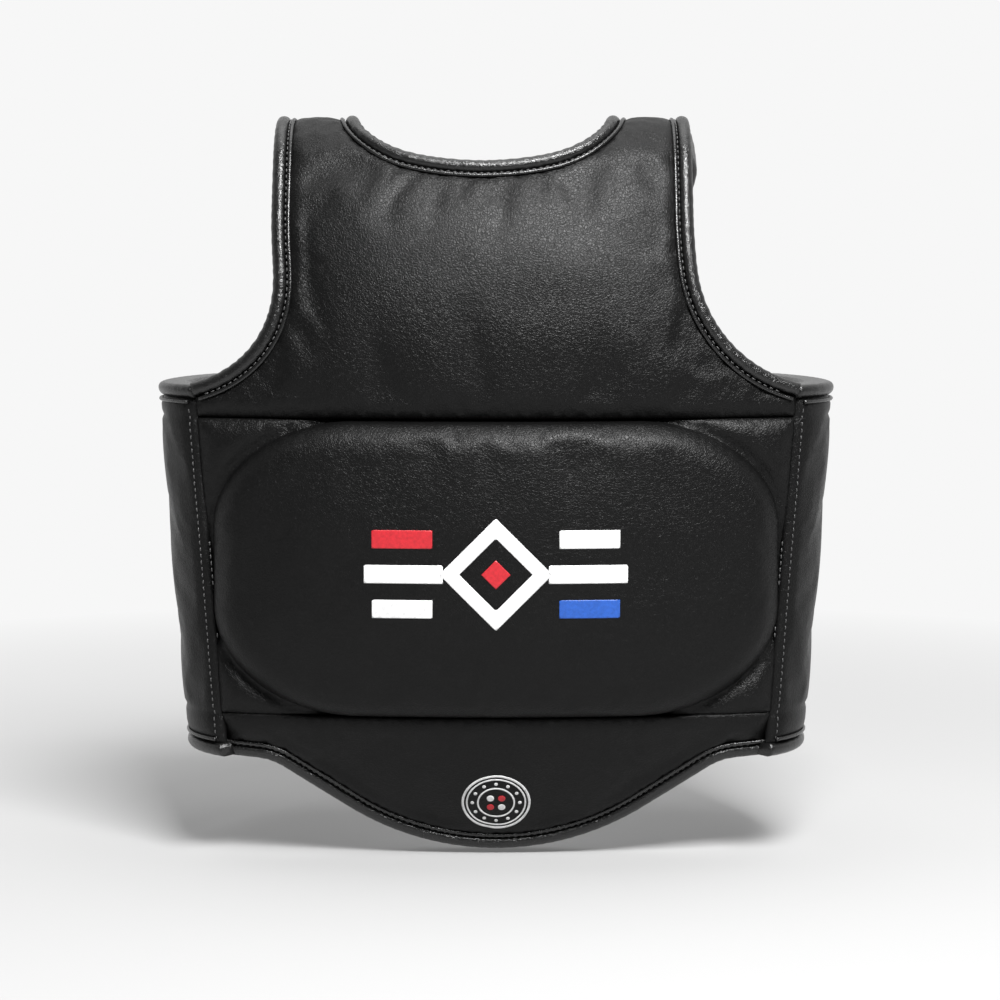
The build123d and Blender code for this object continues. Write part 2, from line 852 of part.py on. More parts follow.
def back_layer(outer, inner, inset):
    """One layer of the back pad, between two depths under its rear face."""
    sketch = back_outline(inset)
    extrude(
        sketch.moved(Location((0, back_face_y - inner, 0))),
        amount=inner - outer,
        dir=(0, 1, 0),
    )


with BuildPart() as back_cover:
    back_layer(0, cover_thickness, binding_width)
finish(back_cover, "back_cover")

with BuildPart() as back_foam:
    back_layer(cover_thickness, back_pad_thickness - lining_thickness, binding_width)
finish(back_foam, "back_foam")

with BuildPart() as back_lining:
    back_layer(back_pad_thickness - lining_thickness, back_pad_thickness, binding_width)
finish(back_lining, "back_lining")

with BuildPart() as back_core:
    back_layer(-2 * binding_stand, back_pad_thickness + 2 * binding_stand, binding_width)

with BuildPart() as back_binding:
    back_layer(-binding_stand, back_pad_thickness + binding_back_stand, 0)
    add(back_core.part, mode=Mode.SUBTRACT)
finish(back_binding, "back_binding")

with BuildPart() as back_hook_patch:
    with BuildSketch(Plane.XZ.offset(-back_face_y)) as hook_area:
        with Locations((0, (back_pad_bottom + strap_high) / 2)):
            Rectangle(
                2 * (back_tail_half_width - binding_width - tail_patch_margin),
                strap_high - back_pad_bottom - 2 * (binding_width + tail_patch_margin),
            )
    extrude(amount=-hook_thickness)
finish(back_hook_patch, "back_hook_patch")

# ---- rings, keepers, straps and fold-back flaps, one set for each shoulder ----
wire_radius = ring_wire / 2
loop_inner = wire_radius + ring_clearance
loop_outer = loop_inner + webbing_thickness
ring_top = pad_end + pad_down * keeper_run - pad_out * (chest_thickness / 2)
pad_middle_y = back_face_y - back_pad_thickness / 2
strap_fall = ring_top.Z - back_pad_top
strap_reach = pad_middle_y - ring_top.Y
harness_lean = degrees(atan2(strap_reach, strap_fall))
harness_down = Vector(0, sin(radians(harness_lean)), -cos(radians(harness_lean)))
harness_out = Vector(0, cos(radians(harness_lean)), sin(radians(harness_lean)))
ring_low = ring_top + harness_down * ring_pitch
strap_length = hypot(strap_fall, strap_reach) - ring_pitch + strap_entry
ring_width = webbing_width + 2 * ring_corner

for name, side in (("left", -1), ("right", 1)):
    place = Vector(side * harness_spacing, 0, 0)
    keeper_plane = Plane(
        origin=place + ring_top - pad_down * keeper_run, x_dir=pad_down, z_dir=(1, 0, 0)
    )
    strap_plane = Plane(origin=place + ring_low, x_dir=harness_down, z_dir=(1, 0, 0))
    ring_plane = Plane(
        origin=place + (ring_top + ring_low) / 2, x_dir=(1, 0, 0), z_dir=harness_out
    )

    with BuildPart() as ring_keeper:
        with BuildSketch(keeper_plane):
            with Locations((keeper_run / 2, 0)):
                Rectangle(keeper_run, 2 * loop_outer)
            with Locations((keeper_run, 0)):
                Circle(loop_outer)
            with Locations((keeper_run / 2, 0)):
                Rectangle(keeper_run, 2 * loop_inner, mode=Mode.SUBTRACT)
            with Locations((keeper_run, 0)):
                Circle(loop_inner, mode=Mode.SUBTRACT)
        extrude(amount=webbing_width / 2, both=True)
    finish(ring_keeper, f"{name}_ring_keeper")

    with BuildPart() as ring:
        with BuildLine(ring_plane) as ring_path:
            FilletPolyline(
                (-ring_width / 2, -ring_pitch / 2),
                (ring_width / 2, -ring_pitch / 2),
                (ring_width / 2, ring_pitch / 2),
                (-ring_width / 2, ring_pitch / 2),
                radius=ring_corner,
                close=True,
            )
        with BuildSketch(Plane(origin=ring_path.line @ 0, z_dir=ring_path.line % 0)):
            Circle(wire_radius)
        sweep(path=ring_path.line)
    finish(ring, f"{name}_ring")

    with BuildPart() as back_strap:
        with BuildSketch(strap_plane):
            Circle(loop_outer)
            Circle(loop_inner, mode=Mode.SUBTRACT)
            with Locations((loop_outer, 0)):
                Rectangle(2 * loop_outer, 4 * loop_outer, mode=Mode.SUBTRACT)
            inner_leg = -(loop_inner + loop_outer) / 2
            with Locations((strap_length / 2, inner_leg)):
                Rectangle(strap_length, webbing_thickness)
            with Locations((flap_stub / 2, -inner_leg)):
                Rectangle(flap_stub, webbing_thickness)
        extrude(amount=webbing_width / 2, both=True)
        pad_inner_y = back_face_y - back_pad_thickness - 2 * binding_stand
        extrude(
            back_outline(0).moved(Location((0, pad_inner_y, 0))),
            amount=back_pad_thickness + 4 * binding_stand,
            dir=(0, 1, 0),
            mode=Mode.SUBTRACT,
        )
    finish(back_strap, f"{name}_back_strap")

    flap_start = flap_stub + flap_clearance
    flap_hook_middle = flap_start + flap_length - flap_hook_margin - flap_hook_length / 2
    with BuildPart() as strap_flap:
        with BuildSketch(strap_plane):
            with Locations((flap_start + flap_length / 2, -inner_leg)):
                Rectangle(flap_length, webbing_thickness)
        extrude(amount=webbing_width / 2, both=True)
    finish(strap_flap, f"{name}_strap_flap")

    with BuildPart() as flap_hook_patch:
        with BuildSketch(strap_plane):
            with Locations((flap_hook_middle, loop_inner - hook_thickness)):
                Rectangle(flap_hook_length, 2 * hook_thickness)
        extrude(amount=webbing_width / 2 - flap_hook_margin, both=True)
    finish(flap_hook_patch, f"{name}_flap_hook_patch")
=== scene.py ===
# %% [markdown]
# # A padded chest protector
# The real object is a vest of foam pads under black synthetic leather, with rolled tape round every edge.
# The CAD model already fixes its size, its pieces and its hinges. This lesson loads that model as a frame
# and builds the soft skin round it: first the shapes, then the seams, then the finishes.

# %% Load the frame
import json
import math

import bmesh
import bpy
import numpy as np
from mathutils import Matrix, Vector
from mathutils.bvhtree import BVHTree
from mathutils.geometry import delaunay_2d_cdt

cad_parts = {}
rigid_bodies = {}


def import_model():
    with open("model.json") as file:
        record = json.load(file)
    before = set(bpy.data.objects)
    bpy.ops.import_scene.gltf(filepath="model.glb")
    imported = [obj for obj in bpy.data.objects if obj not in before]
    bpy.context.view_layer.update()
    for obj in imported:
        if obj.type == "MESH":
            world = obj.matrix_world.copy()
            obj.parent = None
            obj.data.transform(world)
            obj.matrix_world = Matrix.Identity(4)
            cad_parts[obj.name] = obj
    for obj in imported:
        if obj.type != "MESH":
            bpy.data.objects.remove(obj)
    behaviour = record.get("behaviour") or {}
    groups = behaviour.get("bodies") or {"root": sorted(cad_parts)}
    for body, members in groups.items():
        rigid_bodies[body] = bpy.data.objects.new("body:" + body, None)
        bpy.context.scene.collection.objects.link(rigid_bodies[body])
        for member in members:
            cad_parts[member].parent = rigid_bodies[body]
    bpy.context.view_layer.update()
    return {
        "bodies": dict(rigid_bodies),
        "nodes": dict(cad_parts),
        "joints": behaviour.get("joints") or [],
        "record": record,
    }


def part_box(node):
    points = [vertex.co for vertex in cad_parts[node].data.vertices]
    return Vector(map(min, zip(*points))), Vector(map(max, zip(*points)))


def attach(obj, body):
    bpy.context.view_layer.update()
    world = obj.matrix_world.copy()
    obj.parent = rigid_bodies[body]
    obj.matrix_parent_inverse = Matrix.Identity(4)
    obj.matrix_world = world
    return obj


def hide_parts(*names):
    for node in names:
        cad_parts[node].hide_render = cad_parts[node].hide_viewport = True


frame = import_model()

MM = 0.001

# %% [markdown]
# ## The curve of the front
# Every front pad lies on one doubly curved surface: a side section (upright belly, leaning chest, a bend
# over the shoulder, a tucked hem) swept round a wide arc. Writing that surface as a function of two lengths,
# x across and v along the section, lets each pad be drawn flat and then laid on the body. The sizes below
# are the vest's own, in millimetres, and the heights come from the frame.

# %% Sizes of the vest
belly_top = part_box("belly_foam")[1].z / MM
belly_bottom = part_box("belly_foam")[0].z / MM
plan_radius = 750.0
front_axis_y = plan_radius - 130.0
hem_tuck = math.radians(27.0)
chest_radius = 380.0
chest_turn = math.radians(28.0)
shoulder_radius = 55.0
shoulder_turn = math.radians(156.0)
pad_run = 100.0
chest_v = belly_top + chest_radius * chest_turn
over_v = chest_v + shoulder_radius * (math.pi / 2 - chest_turn)
back_v = chest_v + shoulder_radius * (shoulder_turn - chest_turn)
end_v = back_v + pad_run
shoulder_mid = 118.0
print("section: chest to", chest_v, "top", over_v, "back", back_v, "end", end_v)


def side_curve(v):
    """Radius from the plan centre, height, and outward normal of the side section at length v."""
    v = np.asarray(v, float)
    theta = np.where(
        v < chest_v,
        (v - belly_top) / chest_radius,
        chest_turn + (v - chest_v) / shoulder_radius,
    )
    theta = np.clip(theta, 0, shoulder_turn)
    chest_theta = np.minimum(theta, chest_turn)
    r = plan_radius - chest_radius * (1 - np.cos(chest_theta))
    z = belly_top + chest_radius * np.sin(chest_theta)
    bend = np.maximum(theta, chest_turn)
    r = r - shoulder_radius * (np.cos(chest_turn) - np.cos(bend))
    z = z + shoulder_radius * (np.sin(bend) - np.sin(chest_turn))
    straight = np.maximum(v - back_v, 0)
    r = r - straight * math.sin(shoulder_turn)
    z = z + straight * math.cos(shoulder_turn)
    low = np.maximum(belly_bottom - v, 0)
    flat = v < belly_top
    r = np.where(flat, plan_radius - low * math.sin(hem_tuck), r)
    z = np.where(flat, np.maximum(v, belly_bottom) - low * math.cos(hem_tuck), z)
    nr = np.where(flat, 1.0, np.cos(theta))
    nz = np.where(flat, 0.0, np.sin(theta))
    nr = np.where(low > 0, math.cos(hem_tuck), nr)
    nz = np.where(low > 0, -math.sin(hem_tuck), nz)
    return r, z, nr, nz


def smooth(t):
    """A soft step from 0 to 1."""
    t = np.clip(t, 0, 1)
    return t * t * (3 - 2 * t)


def shoulder_shift(v):
    """The shoulders sit a little to one side, as the vest hangs; the seam and the back do not."""
    v = np.asarray(v, float)
    return -9.5 * smooth((v - belly_top - 5.0) / 140.0) * (1 - smooth((v - over_v) / (back_v - over_v)))


def on_front(x, v, h):
    """The point at x across and v along the front, standing h outwards from it, in millimetres."""
    x = np.asarray(x, float) + shoulder_shift(v)
    r, z, nr, nz = side_curve(v)
    flat_share = smooth((np.asarray(v, float) - over_v) / (back_v - over_v))
    x = x / (1 + h * nr * (1 - flat_share) / r)
    x_for_y = np.abs(x) * (1 - flat_share) + shoulder_mid * flat_share
    across = np.sign(x) * x_for_y / r
    y = front_axis_y - np.sqrt(r * r - x_for_y * x_for_y)
    side_lean = across * nr * (1 - flat_share)
    depth = -np.sqrt(1 - (across * (1 - flat_share)) ** 2) * nr
    return np.stack([x + h * side_lean, y + h * depth, z + h * nz], -1)


def v_at(z):
    """The length along the section where the front reaches this height."""
    z = np.asarray(z, float)
    chest = belly_top + chest_radius * np.arcsin(np.clip((z - belly_top) / chest_radius, -1, 1))
    centre_z = belly_top + (chest_radius - shoulder_radius) * math.sin(chest_turn)
    bend = np.arcsin(np.clip((z - centre_z) / shoulder_radius, -1, 1))
    over = chest_v + shoulder_radius * (bend - chest_turn)
    low = belly_bottom - (belly_bottom - z) / math.cos(hem_tuck)
    top_z = belly_top + chest_radius * math.sin(chest_turn)
    return np.where(z < belly_bottom, low, np.where(z < belly_top, z, np.where(z < top_z, chest, over)))


# %% [markdown]
# ## The wings
# A wing starts at the fold, turns round the ribs on two arcs, and leans with the fold line. Its surface is
# a function of s, the length round the body from the fold, and z, the height.

# %% The wing's curve
fold_top_half, fold_bottom_half = 210.5, 191.5
wing_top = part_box("left_wing_binding")[1].z / MM
wing_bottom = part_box("left_wing_binding")[0].z / MM
start_heading = math.radians(35.0)
front_radius, side_radius = 68.0, 175.0
turn_s = front_radius * (math.pi / 2 - start_heading)
wing_s = turn_s + side_radius * math.radians(60.0)
print("wing: length round the body", wing_s, "height", wing_bottom, wing_top)


def fold_at(z):
    """Where the fold crosses the outer face on the right, at this height."""
    share = (np.asarray(z, float) - wing_bottom) / (wing_top - wing_bottom)
    top_y = front_axis_y - math.sqrt(plan_radius**2 - fold_top_half**2)
    bottom_y = front_axis_y - math.sqrt(plan_radius**2 - fold_bottom_half**2)
    x = fold_bottom_half + share * (fold_top_half - fold_bottom_half)
    return x, bottom_y + share * (top_y - bottom_y)


def on_wing(side):
    """The surface function of one wing."""

    def place(s, z, h):
        s = np.asarray(s, float)
        fold_x, fold_y = fold_at(z)
        centre_x = fold_x - front_radius * math.sin(start_heading)
        centre_y = fold_y + front_radius * math.cos(start_heading)
        heading = np.where(
            s < turn_s, start_heading + s / front_radius, math.pi / 2 + (s - turn_s) / side_radius
        )
        radius = np.where(s < turn_s, front_radius, side_radius)
        centre_x = np.where(s < turn_s, centre_x, centre_x + front_radius - side_radius)
        x = centre_x + (radius + h) * np.sin(heading)
        y = centre_y - (radius + h) * np.cos(heading)
        return np.stack([side * x, y, np.asarray(z, float) + 0 * s], -1)

    return place


# %% [markdown]
# ## Drawing outlines
# An outline is a list of points made from a few arcs and lines, as a pattern cutter draws it. Each line can
# be asked for at an inset, so that the tape, the piping and the pad all follow the same edge.

# %% Outline tools
def arc(centre, radius, start, sweep, step=2.5):
    """Points along an arc, angles in degrees."""
    count = max(3, int(abs(math.radians(sweep)) * radius / step))
    angles = np.radians(np.linspace(start, start + sweep, count))
    return np.stack([centre[0] + radius * np.cos(angles), centre[1] + radius * np.sin(angles)], -1)


def resample(points, step):
    """The same line with evenly spaced points."""
    points = np.asarray(points, float)
    run = np.concatenate([[0], np.cumsum(np.linalg.norm(np.diff(points, axis=0), axis=1))])
    count = max(2, int(round(run[-1] / step)) + 1)
    at = np.linspace(0, run[-1], count)
    return np.stack([np.interp(at, run, points[:, k]) for k in range(points.shape[1])], -1)


def chain(*pieces):
    """Several lines joined into one, without repeated points."""
    points = np.concatenate([np.asarray(p, float) for p in pieces])
    keep = np.concatenate([[True], np.linalg.norm(np.diff(points, axis=0), axis=1) > 1e-6])
    return points[keep]


def shifted(points, distance):
    """The line moved to its left by a distance."""
    points = np.asarray(points, float)
    tangent = np.gradient(points, axis=0)
    tangent = tangent / np.linalg.norm(tangent, axis=1, keepdims=True)
    return points + distance * np.stack([-tangent[:, 1], tangent[:, 0]], -1)


# %% The front's edges, as seen from the front
neck_height, neck_radius, neck_turn = 177.0, 230.0, 12.0
neck_side_radius, neck_side_turn = 75.0, 40.0
shoulder_half = 145.0
neck_half = 91.0
neck_stop_z = 309.0
armhole_z = belly_top + 102.0
armhole_radius, armhole_turn = 80.0, 48.0
low_step, low_turn = 6.6, 27.0
armhole_flare = 15.0
pad_end_inner, pad_end_outer = 58.4, 112.4
tongue_drop, tongue_radius, tongue_turn = 101.0, 185.0, 33.8
tongue_side = 55.0
hem_corner_radius, hem_rise = 40.0, 4.0


def neck_edge(inset):
    """Half the neckline in x and v, from the middle over the shoulder to the pad's end."""
    centre = (0, belly_top + neck_height + neck_radius)
    first = arc(centre, neck_radius + inset, -90, neck_turn)
    step = neck_radius - neck_side_radius
    side = (
        centre[0] + step * math.sin(math.radians(neck_turn)),
        centre[1] - step * math.cos(math.radians(neck_turn)),
    )
    second = arc(side, neck_side_radius + inset, -90 + neck_turn, neck_side_turn)
    seen = chain(first, second)
    seen = seen[seen[:, 0] < neck_half + inset - 3.0]
    seen = seen[seen[:, 1] < neck_stop_z]
    front = np.stack([seen[:, 0], v_at(seen[:, 1])], -1)
    over = [(neck_half + inset, over_v + 14.0), (neck_half + inset, back_v)]
    end = [(pad_end_inner + inset, end_v - inset)]
    return rounded(chain(front, over, end), 6)


def armhole_edge(inset):
    """One armhole in x and v, from the pad's end over the shoulder and round to the fold."""
    start = [(pad_end_outer - inset, end_v - inset), (shoulder_half - inset, back_v)]
    down = [(shoulder_half - inset, v_at(armhole_z))]
    upper = arc((shoulder_half + armhole_radius, armhole_z), armhole_radius + inset, 180, armhole_turn)
    low_centre = (
        shoulder_half + armhole_radius + low_step * math.cos(math.radians(armhole_turn)),
        armhole_z + low_step * math.sin(math.radians(armhole_turn)),
    )
    lower = arc(low_centre, armhole_radius + low_step + inset, 180 + armhole_turn, low_turn)
    seen = chain(upper, lower)
    curve = np.stack([seen[:, 0], v_at(seen[:, 1])], -1)
    last = curve[-1]
    out = [(last[0] + 12.0, last[1] - 12.0 * math.tan(math.radians(armhole_flare)))]
    return rounded(chain(start, down, curve, out), 4)


def hem_edge(inset):
    """Half the hem in x and v, from the tongue's tip to the fold."""
    tip_z = belly_bottom - tongue_drop
    tongue = arc((0, tip_z + tongue_radius), tongue_radius - inset, -90, tongue_turn)
    lean = math.radians(tongue_turn)
    side_end = tongue[-1] + tongue_side * np.array([math.cos(lean), math.sin(lean)])
    radius = hem_corner_radius + inset
    centre = side_end + radius * np.array([math.sin(lean), -math.cos(lean)])
    corner = arc(centre, radius, 90 + tongue_turn, hem_rise - tongue_turn)
    last = corner[-1]
    out = [(last[0] + 30.0, last[1] + 30.0 * math.tan(math.radians(hem_rise)))]
    seen = chain(tongue, resample(np.array([tongue[-1], side_end]), 2.5), corner, out)
    return np.stack([seen[:, 0], v_at(seen[:, 1])], -1)


def rounded(points, rounds):
    """The same line with its corners worn round."""
    points = resample(points, 4.0)
    for _ in range(rounds):
        inner = (points[:-2] + 2 * points[1:-1] + points[2:]) / 4
        points = np.concatenate([points[:1], inner, points[-1:]])
    return points


def fold_x_at(v):
    """The fold's distance from the middle at length v of the front."""
    r, z, nr, nz = side_curve(v)
    return fold_at(z)[0]


fold_gap = 0.5


def to_fold(line):
    """The line up to where it meets the fold."""
    dense = resample(line, 0.2)
    kept = dense[dense[:, 0] < fold_x_at(dense[:, 1]) - fold_gap]
    return resample(kept, 2.5)


def mirrored(points):
    """A half line from the middle, with its mirror image before it."""
    left = points[::-1] * np.array([-1, 1])
    return chain(left, points)


def upper_edge(inset):
    """From the left fold round the armhole, the pad's end and the neck, and on to the right fold."""
    half = rounded(chain(neck_edge(inset), armhole_edge(inset)), 3)
    return mirrored(to_fold(half))


def lower_edge(inset):
    """The hem from the left fold to the right fold."""
    return mirrored(to_fold(hem_edge(inset)))


print("edges:", len(upper_edge(0)), "and", len(lower_edge(0)), "points")

# %% [markdown]
# ## Filling a pad
# A pad is a closed pillow: an outer skin, an inner skin and the edge that joins them. A grid of points inside
# the outline, with extra rows beside the edge and beside each sewn line, is joined into triangles by
# Blender's Delaunay routine. The height of each point then follows from how far it is from the nearest seam:
# foam is full a little way in, and pinched to almost nothing where the needle went through.

# %% Mesh tools
def distance_to(points, line, closed=False):
    """Each point's distance to a line of points."""
    line = np.asarray(line, float)
    a = line
    b = np.roll(line, -1, 0)
    if not closed:
        a, b = line[:-1], line[1:]
    best = np.full(len(points), 1e9)
    for start in range(0, len(points), 4000):
        p = points[start : start + 4000, None, :]
        ab = (b - a)[None]
        t = np.clip(((p - a[None]) * ab).sum(-1) / np.maximum((ab * ab).sum(-1), 1e-12), 0, 1)
        near = a[None] + t[..., None] * ab
        best[start : start + 4000] = np.sqrt(((p - near) ** 2).sum(-1).min(1))
    return best


def inside(points, outline):
    """Which points lie inside a closed outline."""
    x, y = points[:, 0][:, None], points[:, 1][:, None]
    x1, y1 = outline[:, 0][None], outline[:, 1][None]
    x2, y2 = np.roll(outline[:, 0], -1)[None], np.roll(outline[:, 1], -1)[None]
    crosses = (y1 > y) != (y2 > y)
    slope = np.where(np.abs(y2 - y1) < 1e-12, 1e-12, y2 - y1)
    return (crosses & (x < (x2 - x1) * (y - y1) / slope + x1)).sum(1) % 2 == 1


def fill(outline, spacing, seams=(), rows=(0.8, 2.0, 3.6)):
    """Triangles that fill an outline, with close rows beside its edge and beside each seam."""
    outline = np.asarray(outline, float)
    low, high = outline.min(0), outline.max(0)
    gx = np.arange(low[0], high[0], spacing)
    gy = np.arange(low[1], high[1], spacing * 0.866)
    grid = np.stack(np.meshgrid(gx, gy), -1)
    grid[1::2, :, 0] += spacing / 2
    grid = grid.reshape(-1, 2)
    edge_gap = distance_to(grid, outline, True)
    keep = inside(grid, outline) & (edge_gap > rows[-1] + spacing * 0.6)
    for seam in seams:
        keep &= distance_to(grid, seam) > rows[-1] + spacing * 0.6
    points = [outline, grid[keep]]
    after = np.roll(outline, -1, 0)
    area = np.sign(np.sum(outline[:, 0] * after[:, 1] - outline[:, 1] * after[:, 0]))
    closed = np.concatenate([outline[-1:], outline, outline[:1]])
    for row in rows:
        ring = shifted(closed, area * row)[1:-1]
        gap = distance_to(ring, outline, True)
        good = inside(ring, outline) & (gap > row * 0.9)
        for seam in seams:
            good &= distance_to(ring, seam) > row * 0.5 + 0.6
        points.append(ring[good])
    for seam in seams:
        for row in (0.0,) + tuple(rows):
            for sign in (1, -1) if row else (1,):
                line = shifted(seam, sign * row)
                gap = distance_to(line, outline, True)
                good = inside(line, outline) & (gap > 0.7)
                points.append(line[good])
    points = np.concatenate(points)
    count = len(outline)
    edges = [(i, (i + 1) % count) for i in range(count)]
    result = delaunay_2d_cdt([Vector(p) for p in points], edges, [], 1, 1e-5)
    verts = np.array([tuple(p) for p in result[0]])
    faces = [tuple(f) for f in result[2]]
    return verts, faces


def new_mesh(name, verts, faces, materials=(), indices=None):
    """A smooth-shaded object from points in millimetres."""
    mesh = bpy.data.meshes.new(name)
    mesh.from_pydata((np.asarray(verts) * MM).tolist(), [], faces)
    mesh.validate()
    for material in materials:
        mesh.materials.append(material)
    if indices is not None and len(indices) == len(mesh.polygons):
        mesh.polygons.foreach_set("material_index", indices)
    mesh.polygons.foreach_set("use_smooth", [True] * len(mesh.polygons))
    mesh.update()
    piece = bpy.data.objects.new(name, mesh)
    bpy.context.scene.collection.objects.link(piece)
    return piece


def boundary_loops(faces):
    """The directed edges that belong to one triangle only."""
    seen = set()
    for f in faces:
        for a, b in zip(f, f[1:] + f[:1]):
            seen.add((a, b))
    return [(a, b) for a, b in seen if (b, a) not in seen]


def pad(name, outline, place, outer, inner, spacing=4.5, inner_place=None, slack=0.02):
    """A closed pad. outer gives the height of its leather at flat points, and inner that of its lining."""
    flat, faces = fill(outline, spacing)
    top = place(flat[:, 0], flat[:, 1], outer(flat))
    under_height = inner(flat) if callable(inner) else np.full(len(flat), inner)
    low = (inner_place or place)(flat[:, 0], flat[:, 1], under_height)
    count = len(flat)
    a, b, c = (top[faces[0][k]] for k in range(3))
    if np.dot(np.cross(b - a, c - a), a - low[faces[0][0]]) < 0:
        faces = [f[::-1] for f in faces]
    under = [tuple(i + count for i in f[::-1]) for f in faces]
    rim = [(b, a, a + count, b + count) for a, b in boundary_loops(faces)]
    indices = [0] * len(faces) + [1] * len(under) + [0] * len(rim)
    skins = [cover_leather, lining_cloth]
    piece = new_mesh(name, np.concatenate([top, low]), list(faces) + under + rim, skins, indices)
    gap = distance_to(flat, outline, True)
    held = np.clip(1.0 - 0.92 * (gap - 1.0) / 9.0, 0.08, 1.0)
    settle(piece, np.concatenate([held, np.ones(count)]), slack)
    return piece


def roll(gap, width):
    """A quarter-round rise from 0 at the seam to 1 at this width."""
    t = np.clip(gap / width, 0, 1)
    return np.sqrt(np.maximum(1 - (1 - t) ** 2, 0))


def groove(gap, depth, width):
    """A pinched line: full depth on the seam, fading with distance."""
    return -depth * (1 - roll(gap, width))


def waves(points, size, strength, count=24, seed=3):
    """Slow, irregular hills and hollows, as foam has under leather."""
    local = np.random.default_rng(seed)
    total = np.zeros(len(points))
    for _ in range(count):
        angle = local.uniform(0, 2 * math.pi)
        length = size * local.uniform(0.6, 1.8)
        phase = local.uniform(0, 2 * math.pi)
        direction = np.array([math.cos(angle), math.sin(angle)])
        total += np.sin(points @ direction * 2 * math.pi / length + phase)
    return strength * total / math.sqrt(count)


# %% [markdown]
# ## Tapes, straps and stitches
# Rolled tape and piping are one section carried along an edge. A strap is a thin section between two lines.
# Where an edge turns inwards the tape has length to spare, so its section swells and shrinks along the line.

# %% Edging, bands and stitches
def tube(name, rings, material, closed=False):
    """A closed mesh through lines of points that run side by side along it."""
    verts = np.stack(rings, 1).reshape(-1, 3)
    size, count = len(rings), len(rings[0])
    faces = []
    for i in range(count if closed else count - 1):
        k = (i + 1) % count
        for j in range(size):
            m = (j + 1) % size
            faces.append((i * size + j, k * size + j, k * size + m, i * size + m))
    if not closed:
        faces.append(tuple(range(size)))
        faces.append(tuple((count - 1) * size + j for j in reversed(range(size))))
    piece = new_mesh(name, verts, faces, [material])
    facing_out(piece)
    return piece


def edging(name, line, profile, place, material, pucker=0.0, outward=1, closed=False):
    """A roll of leather along a line. The profile gives steps away from the pad and heights over it."""
    line = np.asarray(line, float)
    if closed:
        tangent = np.roll(line, -1, 0) - np.roll(line, 1, 0)
    else:
        tangent = np.gradient(line, axis=0)
    tangent = tangent / np.linalg.norm(tangent, axis=1, keepdims=True)
    away = outward * np.stack([-tangent[:, 1], tangent[:, 0]], -1)
    bend = np.linalg.norm(np.gradient(tangent, axis=0), axis=1)
    run = np.arange(len(line))
    fold = np.sin(run * 1.9 + 1.3 * np.sin(run * 0.37)) * np.clip(0.25 + bend * 9, 0, 1)
    middle = np.mean(profile, axis=0)
    rings = []
    for step, height in profile:
        swell = 1 + pucker * fold * (1.0 if height > middle[1] else 0.4)
        flat = line + away * (middle[0] + (step - middle[0]) * swell)[:, None]
        rings.append(place(flat[:, 0], flat[:, 1], np.full(len(line), height) + pucker * 3.0 * fold))
    return tube(name, rings, material, closed)


def fit(piece, body, nodes=(), slot=None):
    """Fix a piece to its body, in place of these nodes."""
    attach(piece, body)
    if nodes:
        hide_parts(*nodes)


def facing_out(piece):
    """Turn every face of a closed mesh outwards."""
    work = bmesh.new()
    work.from_mesh(piece.data)
    bmesh.ops.recalc_face_normals(work, faces=work.faces)
    work.to_mesh(piece.data)
    work.free()


def rounded_box(step_low, step_high, height_low, height_high, radius, sides=4):
    """The outline of a bar with round corners, as steps and heights."""
    radius = min(radius, (step_high - step_low) / 2, (height_high - height_low) / 2)
    corners = [
        (step_high - radius, height_high - radius, 0),
        (step_low + radius, height_high - radius, 90),
        (step_low + radius, height_low + radius, 180),
        (step_high - radius, height_low + radius, 270),
    ]
    points = []
    for x, y, start in corners:
        for k in range(sides + 1):
            angle = math.radians(start + 90 * k / sides)
            points.append((x + radius * math.cos(angle), y + radius * math.sin(angle)))
    return points


def band(name, low, high, thickness, material, stations=12):
    """A flat strip between two lines of points, this thick, with soft edges."""
    low, high = np.asarray(low, float), np.asarray(high, float)
    across = high - low
    along = np.gradient((low + high) / 2, axis=0)
    normal = np.cross(along, across)
    normal = normal / np.linalg.norm(normal, axis=1, keepdims=True)
    share = (1 - np.cos(np.linspace(0, math.pi, stations))) / 2
    edge = np.power(np.maximum(1 - np.abs(2 * share - 1) ** 6, 0), 0.5)
    loop = [(t, thickness * (0.5 + 0.5 * e)) for t, e in zip(share, edge)]
    loop += [(t, thickness * (0.5 - 0.5 * e)) for t, e in zip(share[-2:0:-1], edge[-2:0:-1])]
    rings = [low + across * t + normal * h for t, h in loop]
    return tube(name, rings, material)


# Each ring of a stitch: its share of the length, its share of the radius, and how far it sinks.
stitch_rings = ((-0.5, 0.35, 0.5), (-0.34, 1, 0.05), (0, 1.1, -0.12), (0.34, 1, 0.05), (0.5, 0.35, 0.5))


def stitches(name, rows, place, pitch=4.6, length=3.1, radius=0.42):
    """Rows of single stitches. Each row is a flat line and the height of the leather along it."""
    verts, faces = [], []
    sides = 6
    for line, height in rows:
        dense = resample(line, pitch / 4)
        lift = height(dense) + 0.15
        points = place(dense[:, 0], dense[:, 1], lift)
        above = place(dense[:, 0], dense[:, 1], lift + 1.0) - points
        for start in range(2, len(points) - 5, 4):
            middle = points[start]
            along = points[start + 1] - points[start - 1]
            along = along / np.linalg.norm(along)
            up = above[start] / np.linalg.norm(above[start])
            side = np.cross(along, up)
            for t, r, drop in stitch_rings:
                for k in range(sides):
                    angle = 2 * math.pi * k / sides
                    ring = radius * r * (math.cos(angle) * side + math.sin(angle) * up)
                    verts.append(middle + along * length * t - up * drop + ring)
            base = len(verts) - 5 * sides
            for i in range(4):
                for k in range(sides):
                    m = (k + 1) % sides
                    a, b = base + i * sides, base + (i + 1) * sides
                    faces.append((a + k, b + k, b + m, a + m))
            faces.append(tuple(base + k for k in reversed(range(sides))))
            faces.append(tuple(base + 4 * sides + k for k in range(sides)))
    piece = new_mesh(name, verts, faces, [black_thread])
    facing_out(piece)
    return piece


